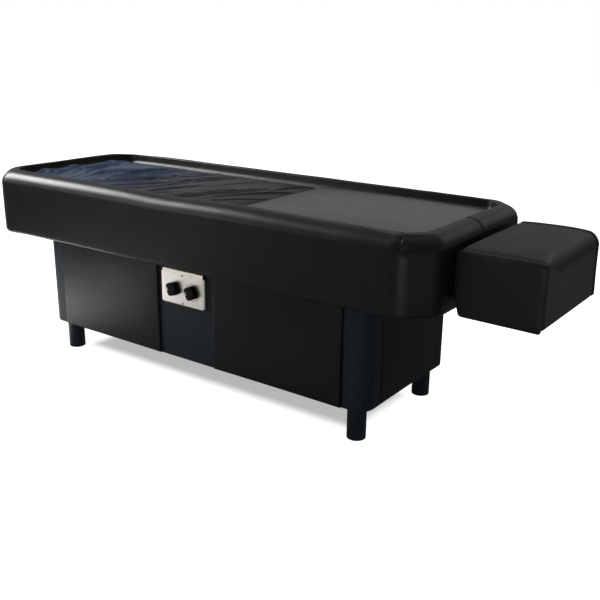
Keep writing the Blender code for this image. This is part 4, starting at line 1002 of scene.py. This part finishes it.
def leg_pad():
    """The charcoal pad, crowned on top and flat below."""
    middle, half = (PAD_LOW.x + PAD_HIGH.x) / 2, (PAD_HIGH.x - PAD_LOW.x) / 2
    edge_top = PAD_HIGH.z - PAD_CROWN_PACKED

    def plan(s, t, inset):
        x = middle + s * (half - inset)
        return x, t * pad_half_width(x, inset)

    def face(s, t):
        return edge_top + PAD_CROWN * (1 - abs(s) ** 3) * (1 - abs(t) ** 3)

    side = [(0.0006, (edge_top + PAD_LOW.z) / 2), (0.0, PAD_LOW.z + 0.004), (0.003, PAD_LOW.z)]
    profile = rolled_edge(PAD_EDGE, edge_top, 7) + side
    points, faces = pad_net(plan, profile, face, lambda s, t: PAD_LOW.z, (110, 90))
    raised = ease(PAD_LOW.z + 0.012, edge_top, points[:, 2])
    points[:, 2] += raised * (uneven(points, (0.0010, 0.14, 5), (0.0003, 0.035, 6)) - PAD_SETTLE)
    pad = build_piece("leg_pad_cushion", points, faces, PAD_VINYL, "leg_pad", ("leg_pad",))
    return pad


pad = leg_pad()
print("leg pad:", len(pad.data.polygons), "faces")

# %% [markdown]
# ## The footrest
# One strip of vinyl wraps the block's top, ends and underside, and a flat piece is sewn in at the front
# and the back. The seam stands up as a ridge with a valley beside it. Away from the seams the strip rolls
# over the end in a wide curve, and near them it is pulled tight. The block is built as rows: rings that
# shrink to the middle of the front piece, rows along the wrap, and rings again at the back.

# %% Footrest block
BLOCK_LOW, BLOCK_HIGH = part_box("footrest_block")
BLOCK_CROWN = 0.012
CROWN_LOST_AT_FRONT = 0.85
CROWN_LOST_AT_BACK = 0.25
CROWN_LOST_AT_TUB = 0.55
BLOCK_ROUND = 0.046
BLOCK_ROUND_AT_FRONT = 0.009
BLOCK_ROUND_AT_BACK = 0.036
BLOCK_SMALL_ROUND = 0.012
PULLED_TIGHT = 0.13
RIDGE_RISE = 0.0014
RIDGE_WIDTH = 0.0055
VALLEY_DEPTH = 0.0034
VALLEY_PLACE = 0.016
VALLEY_WIDTH = 0.009
FRONT_SWELL = 0.005
TUCK = 0.013
SAG_FRONT = 0.003
SAG_BACK = 0.008
CAP_SHARES = (0.04, 0.2, 0.4, 0.6, 0.75, 0.85, 0.91, 0.95, 0.975, 0.99)
# Slow unevenness along Z, Y and X: the axis, then the wave's height, size and seed.
BLOCK_WAVES = ((2, 0.0014, 0.12, 7), (1, 0.0010, 0.09, 8), (0, 0.0012, 0.10, 9))


def block_path(y):
    """The wrap's path round the block in X and Z, clockwise from below, at a distance across."""
    half = (BLOCK_HIGH.y - BLOCK_LOW.y) / 2
    from_seam = half - abs(y)
    tight = BLOCK_ROUND_AT_FRONT if y < 0 else BLOCK_ROUND_AT_BACK
    wide = tight + (BLOCK_ROUND - tight) * float(ease(0.0, PULLED_TIGHT, from_seam))
    small = min(BLOCK_SMALL_ROUND, wide)
    left, right, bottom, top = BLOCK_LOW.x, BLOCK_HIGH.x, BLOCK_LOW.z, BLOCK_HIGH.z - BLOCK_CROWN
    path = arc((left + small, bottom + small), small, 270.0, 180.0, 6)
    path += straight(path[-1], (left, top - small), 14)[:-1]
    path += arc((left + small, top - small), small, 180.0, 90.0, 6)
    path += straight(path[-1], (right - wide, top), 34)[:-1]
    path += arc((right - wide, top - wide), wide, 90.0, 0.0, 18)
    path += straight(path[-1], (right, bottom + small), 24)[:-1]
    path += arc((right - small, bottom + small), small, 0.0, -90.0, 6)
    path += straight(path[-1], path[0], 20)[:-1]
    return np.array(path)


def block_row(y):
    """One row of the wrap, with its crown, its seam's ridge and the valley beside it."""
    half = (BLOCK_HIGH - BLOCK_LOW) / 2
    middle = (BLOCK_HIGH + BLOCK_LOW) / 2
    path = block_path(y)
    from_seam = half.y - abs(y)
    ridge = RIDGE_RISE * hump(from_seam, RIDGE_WIDTH)
    valley = VALLEY_DEPTH * hump(from_seam - VALLEY_PLACE, VALLEY_WIDTH)
    path = path + outward(path) * (ridge - valley)
    s, up = (path[:, 0] - middle.x) / half.x, (path[:, 1] - middle.z) / half.z
    lost = CROWN_LOST_AT_FRONT if y < 0 else CROWN_LOST_AT_BACK
    kept = 1.0 - lost * abs(y / half.y) ** 4
    fall = np.where(s > 0.0, 1.0, CROWN_LOST_AT_TUB) * np.abs(s) ** 3
    swell = BLOCK_CROWN * (1.0 - fall) * kept * ease(0.1, 0.85, up)
    path[:, 1] += np.clip(swell, 0.0, None)
    low = ease(0.1, 1.0, -up) * np.abs(up)
    right, back = np.clip((s + 1.0) / 2.0, 0.0, 1.0), (y / half.y + 1.0) / 2.0
    path[:, 0] += low * (TUCK * (1.0 - right) + SAG_FRONT)
    path[:, 1] -= low * right * (SAG_FRONT + (SAG_BACK - SAG_FRONT) * back)
    return np.column_stack([path[:, 0], np.full(len(path), y), path[:, 1]])


def footrest_block():
    """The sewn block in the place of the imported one."""
    half = (BLOCK_HIGH.y - BLOCK_LOW.y) / 2
    near = np.concatenate([np.linspace(0.0, 0.024, 17), np.geomspace(0.03, half, 26)])
    across = np.concatenate([near - half, (half - near[:-1])[::-1]])
    rows = [block_row(y) for y in across.tolist()]
    middle = rows[0].mean(axis=0)
    caps = []
    for row, out in ((rows[0], -1.0), (rows[-1], 1.0)):
        rings = []
        for share in CAP_SHARES:
            ring = middle + (row - middle) * share
            swell = FRONT_SWELL * (1.0 - share ** 8)
            ring[:, 1] = row[:, 1] + out * swell
            rings.append(ring)
        caps.append(rings)
    rows = caps[0] + rows + caps[1][::-1]
    points = np.concatenate(rows)
    off_tub = ease(BLOCK_LOW.x + 0.004, BLOCK_LOW.x + 0.05, points[:, 0])
    soft = off_tub * ease(BLOCK_LOW.z, BLOCK_LOW.z + 0.04, points[:, 2])
    for axis, *wave in BLOCK_WAVES:
        points[:, axis] += soft * uneven(points, wave)
    rings = points.reshape(len(rows), -1, 3)
    block = stack("footrest_cushion", rings, BLOCK_VINYL, "footrest", ("footrest_block",))
    return block


block = footrest_block()
print("footrest:", len(block.data.polygons), "faces")

# %% [markdown]
# ## The slack membrane
# A thin film lies over the water, clamped round its edge. It is cut with spare cloth so that it can take
# a body's shape, and the spare cloth lies in long folds that fan out across the tub, with finer ones
# between. Each fold rises gently from the head side and drops steeply on the other, so from the foot end
# it shows a dark, tapering edge. The folds are scattered with a fixed seed: the same ones come out each
# time.

# %% Membrane
SHEET_GAP = 0.001
SHEET_FOOT = PAD_LOW.x - SHEET_GAP
SHEET_SIDE = TUB_SIDE - RIM_FOOT - SHEET_GAP
SHEET_HEAD = TUB_HEAD + RIM_FOOT + SHEET_GAP
SHEET_CLIP = TUB_CORNER - (RIM_FOOT + SHEET_GAP) * (2.0 - math.sqrt(2.0))
SHEET_THICKNESS = 0.0008
SHEET_LIFT = 0.0012
SHEET_CELLS = (380, 200)
WATER_RISE = 0.021
EDGE_CLIMB = 0.010
FOLD_SEED = 5
FOLD_FAN = (-14.0, 32.0)
FAN_RANGE = (-0.95, -0.45)
FAN_SCATTER = 12.0
FOLD_BOW = 0.3
FOLD_SIDE = 0.24
FOLD_FIRST = 0.02
FOLD_SPAN = 0.92
FOLD_CROWDING = 1.2
POCKET_DEPTH = 0.6
LONG_FOLDS = {"count": 38, "reach": (0.09, 0.24), "rise": (0.0040, 0.0105),
              "steep": (0.004, 0.007), "gentle": (0.014, 0.040)}
FINE_FOLDS = {"count": 70, "reach": (0.04, 0.12), "rise": (0.0006, 0.0022),
              "steep": (0.003, 0.005), "gentle": (0.006, 0.016)}
ARCH_PLACE = (-1.00, -0.105)
ARCH_SIZE = (0.030, 0.075)
ARCH_RISE = 0.008
ARCH_HOLLOW = 0.004
CRUMPLE_PLACE = (-0.248, -0.14)
CRUMPLE_SIZE = (0.018, 0.022)
CRUMPLE_RISE = 0.004


def fold_height(x, y, pick, count, reach, rise, steep, gentle):
    """Height of a family of folds above the water at many places, in metres."""
    height = np.zeros_like(x)
    for fold in range(count):
        share = FOLD_FIRST + FOLD_SPAN * pick.uniform() ** FOLD_CROWDING
        centre_x = SHEET_HEAD + (SHEET_FOOT - SHEET_HEAD) * share
        centre_y = pick.uniform(-FOLD_SIDE, FOLD_SIDE)
        fan = FOLD_FAN[0] + (FOLD_FAN[1] - FOLD_FAN[0]) * float(ease(*FAN_RANGE, centre_x))
        turn = math.radians(fan + pick.uniform(-FAN_SCATTER, FAN_SCATTER))
        half_length, top, front, back = (pick.uniform(*limits) for limits in (reach, rise, steep, gentle))
        bow = pick.uniform(-FOLD_BOW, FOLD_BOW) / half_length
        along = (x - centre_x) * math.sin(turn) + (y - centre_y) * math.cos(turn)
        across = (x - centre_x) * math.cos(turn) - (y - centre_y) * math.sin(turn) + bow * along * along
        taper = np.exp(-np.abs(along / half_length) ** 3)
        crest = hump(across, np.where(across > 0.0, front, back))
        pocket = POCKET_DEPTH * hump(across - 1.8 * front, 1.1 * front)
        height += top * taper * (crest - pocket)
    return height


def oval(x, y, place, size):
    """Distance from a place, counted in its half sizes: one on the oval round it."""
    return np.hypot((x - place[0]) / size[0], (y - place[1]) / size[1])


def membrane_sheet():
    """The film: flat at its clamped edge, then up over the water in folds."""
    columns, rows = SHEET_CELLS
    lengthwise, crosswise = np.linspace(0.0, 1.0, columns + 1), np.linspace(-1.0, 1.0, rows + 1)
    s, t = np.meshgrid(lengthwise, crosswise, indexing="ij")
    x = SHEET_HEAD + s * (SHEET_FOOT - SHEET_HEAD)
    side = SHEET_SIDE - np.maximum(0.0, SHEET_CLIP - (x - SHEET_HEAD))
    y = t * side
    flat = np.column_stack([x.ravel(), y.ravel(), np.zeros(x.size)])
    edge = np.maximum(np.minimum(x - SHEET_HEAD, side - np.abs(y)), 0.0)
    dip = 0.020 + 0.060 * ease(0.02, -0.26, y)
    climb = (1.0 - np.exp(-edge / EDGE_CLIMB)) * (1.0 - np.exp(-(SHEET_FOOT - x) / dip))
    ring = oval(x, y, ARCH_PLACE, ARCH_SIZE)
    arch = ARCH_RISE * hump(ring - 1.0, 0.35) - ARCH_HOLLOW * hump(ring, 0.6)
    crumple = CRUMPLE_RISE * hump(oval(x, y, CRUMPLE_PLACE, CRUMPLE_SIZE), 1.0)
    pick = np.random.default_rng(FOLD_SEED)
    folds = fold_height(x, y, pick, **LONG_FOLDS) + fold_height(x, y, pick, **FINE_FOLDS)
    slack = 0.55 + 0.28 * hump(x - SHEET_HEAD, 0.45)
    slow = uneven(flat, (0.0022, 0.13, 10), (0.0007, 0.030, 11)).reshape(x.shape)
    kept = 0.20 + 0.80 * ease(0.0, 0.15, side - y)
    rise = np.maximum((WATER_RISE + kept * slack * folds + arch + crumple + slow) * climb, 0.0)
    points = np.column_stack([flat[:, :2], CLAMP_UNDERSIDE + SHEET_LIFT + rise.ravel()])
    faces = net_faces(columns + 1, rows + 1, close_columns=False)
    sheet = build_piece("membrane_sheet", points, faces, FILM, stands_for=("membrane",))
    skin = sheet.modifiers.new("film", "SOLIDIFY")
    skin.thickness = SHEET_THICKNESS
    skin.offset = -1.0
    return sheet


sheet = membrane_sheet()
print("membrane:", len(sheet.data.polygons), "faces")

# %% [markdown]
# ## Posts and legs
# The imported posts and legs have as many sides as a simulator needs. The eye wants a rounder curve and a
# small bevel that catches light at each sharp edge, so each is rebuilt as a stack of closed rings with
# flat caps.

# %% Posts and legs
POST_ROUND = 0.050
POST_BEVEL = 0.0012
POST_CAP = 0.006
LEG_EDGE = 0.002
LEG_CAP = 0.004
LEG_FOOT = 0.020


def circle(x, y, radius, count):
    """Points evenly round a circle."""
    angles = np.linspace(0.0, 2.0 * math.pi, count, endpoint=False)
    return [(x + radius * math.cos(angle), y + radius * math.sin(angle)) for angle in angles]


def corner_post(node):
    """A post with one wide rounded corner, turned to the outside of the cabinet."""
    low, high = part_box(node)
    width = high.x - low.x
    x_side = 1.0 if low.x > TUB_MIDDLE else -1.0
    y_side = 1.0 if low.y > 0.0 else -1.0
    inner_x = low.x if x_side > 0 else high.x
    inner_y = low.y if y_side > 0 else high.y

    def ring(inset, z):
        flat = width - POST_ROUND
        near, far = inset, width - inset
        plan = [(near, near)] + straight((near, near), (far, near), 6)
        plan += straight((far, near), (far, flat), 6)
        plan += arc((flat, flat), POST_ROUND - inset, 0.0, 90.0, 24)[1:]
        plan += straight(plan[-1], (near, far), 6) + straight((near, far), (near, near), 6)[:-1]
        return [(inner_x + x_side * a, inner_y + y_side * b, z) for a, b in plan]

    levels = [(POST_CAP, low.z), (POST_BEVEL, low.z), (0.0, low.z + POST_BEVEL), (0.0, low.z + POST_CAP)]
    levels += [(0.0, high.z - POST_CAP), (0.0, high.z - POST_BEVEL), (POST_BEVEL, high.z), (POST_CAP, high.z)]
    return stack(node.replace("corner_post", "faced_post"), [ring(*level) for level in levels], LAMINATE,
                 stands_for=(node,))


def round_leg(node):
    """A turned leg with a rounded foot."""
    low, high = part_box(node)
    middle, radius = (low + high) / 2, (high.x - low.x) / 2
    levels = [(radius - LEG_EDGE - LEG_CAP, low.z)]
    levels += arc((radius - LEG_EDGE, low.z + LEG_EDGE), LEG_EDGE, 270.0, 360.0, 6)
    levels += [(radius, low.z + LEG_FOOT), (radius, high.z - LEG_CAP)]
    levels += [(radius, high.z), (radius - LEG_CAP, high.z)]
    rings = [[(a, b, z) for a, b in circle(middle.x, middle.y, r, 64)] for r, z in levels]
    return stack(node.replace("leg_", "coated_leg_"), rings, LEG_COAT, stands_for=(node,))


POSTS = [corner_post(node) for node in sorted(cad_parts) if node.startswith("corner_post")]
LEGS = [round_leg(node) for node in sorted(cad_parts) if node.startswith("leg_") and node != "leg_pad"]
print("posts:", len(POSTS), "legs:", len(LEGS))

# %% [markdown]
# ## The control plate
# A steel sheet with its four edges folded back. Folding leaves a small notch at each corner, and the top
# edge leans back as a hood that mirrors the front lamp, with a narrow groove below it. Two screws hold
# the plate. The face is a grid with a round hole for each knob's shaft, so that the knobs turn freely.

# %% Control plate
PLATE_LOW, PLATE_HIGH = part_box("control_plate")
FLANGE = 0.005
HOOD = 0.011
HOOD_LEAN = 0.0035
FOLD_ROUND = 0.0012
GROOVE = 0.0024
NOTCH = 0.002
PLATE_SHEET = 0.0012
SHAFT_HOLE = 0.0036
HOLE_CELL = 0.010
KNOB_CENTRES = {node: sum(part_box(node), Vector()) / 2 for node in ("timer_knob", "pressure_knob")}


def plate_face(left, right, bottom, top):
    """Points and faces of the flat face: cells of a grid, two of them with a round hole."""
    y = PLATE_LOW.y
    columns = [left]
    for centre in KNOB_CENTRES.values():
        columns += [centre.x - HOLE_CELL, centre.x + HOLE_CELL]
    columns.append(right)
    level = KNOB_CENTRES["timer_knob"].z
    rows = [bottom, level - HOLE_CELL, level + HOLE_CELL, top]
    points, faces = [], []
    for column in range(len(columns) - 1):
        for row in range(len(rows) - 1):
            a, b, c, d = columns[column], columns[column + 1], rows[row], rows[row + 1]
            start = len(points)
            if row == 1 and column in (1, 3):
                angles = np.radians(np.arange(0.0, 360.0, 15.0) + 45.0)
                middle = ((a + b) / 2, (c + d) / 2)
                for angle in angles:
                    way = np.array((math.cos(angle), math.sin(angle)))
                    square = way * HOLE_CELL / np.max(np.abs(way))
                    for reach in (square, way * SHAFT_HOLE):
                        points.append((middle[0] + reach[0], y, middle[1] + reach[1]))
                faces += net_faces(len(angles), 2, close_rows=True, close_columns=False, start=start)
            else:
                points += [(a, y, c), (b, y, c), (b, y, d), (a, y, d)]
                faces.append((start, start + 1, start + 2, start + 3))
    return points, faces


def flange(begin, end, out, profile):
    """A folded edge: a profile of (distance out, depth back) carried along the fold."""
    points = [Vector(corner) + Vector(out) * reach + Vector((0.0, depth, 0.0))
              for corner in (begin, end) for reach, depth in profile]
    return points, net_faces(2, len(profile), close_columns=False)


def control_plate():
    """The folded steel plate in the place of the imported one."""
    y, deep = PLATE_LOW.y, PLATE_HIGH.y - PLATE_LOW.y
    left, right = PLATE_LOW.x + FLANGE, PLATE_HIGH.x - FLANGE
    bottom, top = PLATE_LOW.z + FLANGE, PLATE_HIGH.z - HOOD
    fold = [(0.0, 0.0), (0.0006, 0.0001), (0.0018, 0.0006)]
    fold += [(FLANGE - FOLD_ROUND, 0.0030), (FLANGE, 0.0060), (FLANGE, deep)]
    hood = [(0.0, 0.0), (0.0004, GROOVE), (GROOVE, GROOVE), (GROOVE + 0.0004, 0.0)]
    hood += [(HOOD - FOLD_ROUND, HOOD_LEAN), (HOOD, HOOD_LEAN + FOLD_ROUND), (HOOD, deep)]
    parts = [plate_face(left, right, bottom, top),
             flange((left + NOTCH, y, top), (right - NOTCH, y, top), (0, 0, 1), hood),
             flange((left + NOTCH, y, bottom), (right - NOTCH, y, bottom), (0, 0, -1), fold),
             flange((left, y, bottom + NOTCH), (left, y, top - NOTCH), (-1, 0, 0), fold),
             flange((right, y, bottom + NOTCH), (right, y, top - NOTCH), (1, 0, 0), fold)]
    points, faces = [], []
    for more_points, more_faces in parts:
        faces += [tuple(len(points) + corner for corner in face) for face in more_faces]
        points += more_points
    plate = build_piece("folded_plate", points, faces, STAINLESS,
                        stands_for=("control_plate",))
    plate.data.shade_flat()
    skin = plate.modifiers.new("sheet", "SOLIDIFY")
    skin.thickness = PLATE_SHEET
    skin.offset = 0.0
    return plate


plate = control_plate()
print("control plate:", len(plate.data.polygons), "faces")

# %% [markdown]
# ## Knobs, screws and the dial's ring
# A knob is a round skirt with a thick bar across it, moulded with soft edges. Its bar is a superellipse,
# which is a square with full corners, and it keeps the turn that the imported knob has. A small ivory
# patch sits on the left edge of each bar. The screws are pan heads of black oxide steel, and a thin ring
# is engraved round the pressure knob.

# %% Knobs and small metal
KNOB_RADIUS = 0.0241
KNOB_SQUARENESS = 0.45
KNOB_BAR_SHARE = 0.94
KNOB_TURNS = {"timer_knob": math.radians(16.0), "pressure_knob": math.radians(24.0)}
KNOB_SKIRT = 0.005
KNOB_SHAFT_SHARE = 0.12
KNOB_GAP = 0.0008
# The bar's size at shares of its height, from the skirt to the top.
KNOB_BAR = ((1.0, 0.0), (0.985, 0.3), (0.965, 0.75), (0.945, 0.9), (0.915, 0.97), (0.87, 1.0), (0.5, 1.0))
MARK_ACROSS = (-0.0190, -0.0130)
MARK_ALONG = (-0.002, 0.0095)
SCREW_HEAD = ((0.0034, 0.0008), (0.0034, -0.0006), (0.0029, -0.0014), (0.0016, -0.0018), (0.0007, -0.0019))
DIAL_RING = (0.0296, 0.0316)
DIAL_RING_DEPTH = (0.0004, 0.0010)


def on_knob(node, across, along, y):
    """A point across and along a knob's bar, turned as the knob is."""
    centre, turn = KNOB_CENTRES[node], KNOB_TURNS[node]
    return (centre.x + across * math.cos(turn) - along * math.sin(turn), y,
            centre.z + across * math.sin(turn) + along * math.cos(turn))


def knob_ring(node, scale, y, squareness):
    """A ring of the knob: a circle where squareness is one, and squarer below it."""
    ring = []
    for c, s in circle(0.0, 0.0, 1.0, 72):
        across = math.copysign(abs(c) ** squareness, c) * KNOB_RADIUS * KNOB_BAR_SHARE * scale
        along = math.copysign(abs(s) ** squareness, s) * KNOB_RADIUS * scale
        ring.append(on_knob(node, across, along, y))
    return ring


def knob(node):
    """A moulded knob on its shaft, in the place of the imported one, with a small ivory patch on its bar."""
    low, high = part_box(node)
    back = PLATE_LOW.y - KNOB_GAP
    step = back - KNOB_SKIRT
    skirt = ((KNOB_SHAFT_SHARE, high.y), (KNOB_SHAFT_SHARE, back), (0.97, back),
             (1.0, back - KNOB_GAP), (1.0, step + KNOB_GAP))
    rings = [knob_ring(node, scale, y, 1.0) for scale, y in skirt]
    tall = step - low.y
    rings += [knob_ring(node, scale, step - tall * share, KNOB_SQUARENESS) for scale, share in KNOB_BAR]
    piece = stack(node.replace("knob", "moulded_knob"), rings, KNOB_ABS, node, (node,))
    # A small ivory patch on the left edge of each bar.
    left, right = MARK_ACROSS
    bottom, top = MARK_ALONG
    corners = ((left, bottom), (right, bottom), (right, top), (left, top))
    rings = [[on_knob(node, *corner, y) for corner in corners] for y in (low.y + 0.0010, low.y - 0.0006)]
    ivory_patch = stack(node.replace("knob", "ivory_patch"), rings, IVORY_PATCH_SKIN, node)
    ivory_patch.data.shade_flat()
    return piece


def pan_head(name, x, z):
    """A small domed screw head on the plate's face."""
    y = PLATE_LOW.y - 0.0005
    rings = [[(a, y + depth, b) for a, b in circle(x, z, r, 24)] for r, depth in SCREW_HEAD]
    return stack(name, rings, OXIDE_STEEL)


def dial_ring():
    """The engraved ring round the pressure knob, a flat band standing a hair above the plate."""
    centre = KNOB_CENTRES["pressure_knob"]
    inner, outer = DIAL_RING
    back, front = (PLATE_LOW.y - depth for depth in DIAL_RING_DEPTH)
    rings = [[(a, y, b) for a, b in circle(centre.x, centre.z, r, 72)]
             for r, y in ((inner, back), (inner, front), (outer, front), (outer, back))]
    points = [point for ring in rings for point in ring]
    faces = net_faces(len(rings), len(rings[0]), close_rows=True)
    return build_piece("dial_ring", points, faces, ENGRAVED)


KNOBS = [knob(node) for node in KNOB_CENTRES]
plate_middle = (PLATE_LOW.x + PLATE_HIGH.x) / 2
SCREWS = [pan_head("top_screw", plate_middle, PLATE_HIGH.z - HOOD - 0.005),
          pan_head("bottom_screw", plate_middle, PLATE_LOW.z + FLANGE + 0.004)]
dial_ring()
print("knobs:", [piece.name for piece in KNOBS], "screws:", len(SCREWS))
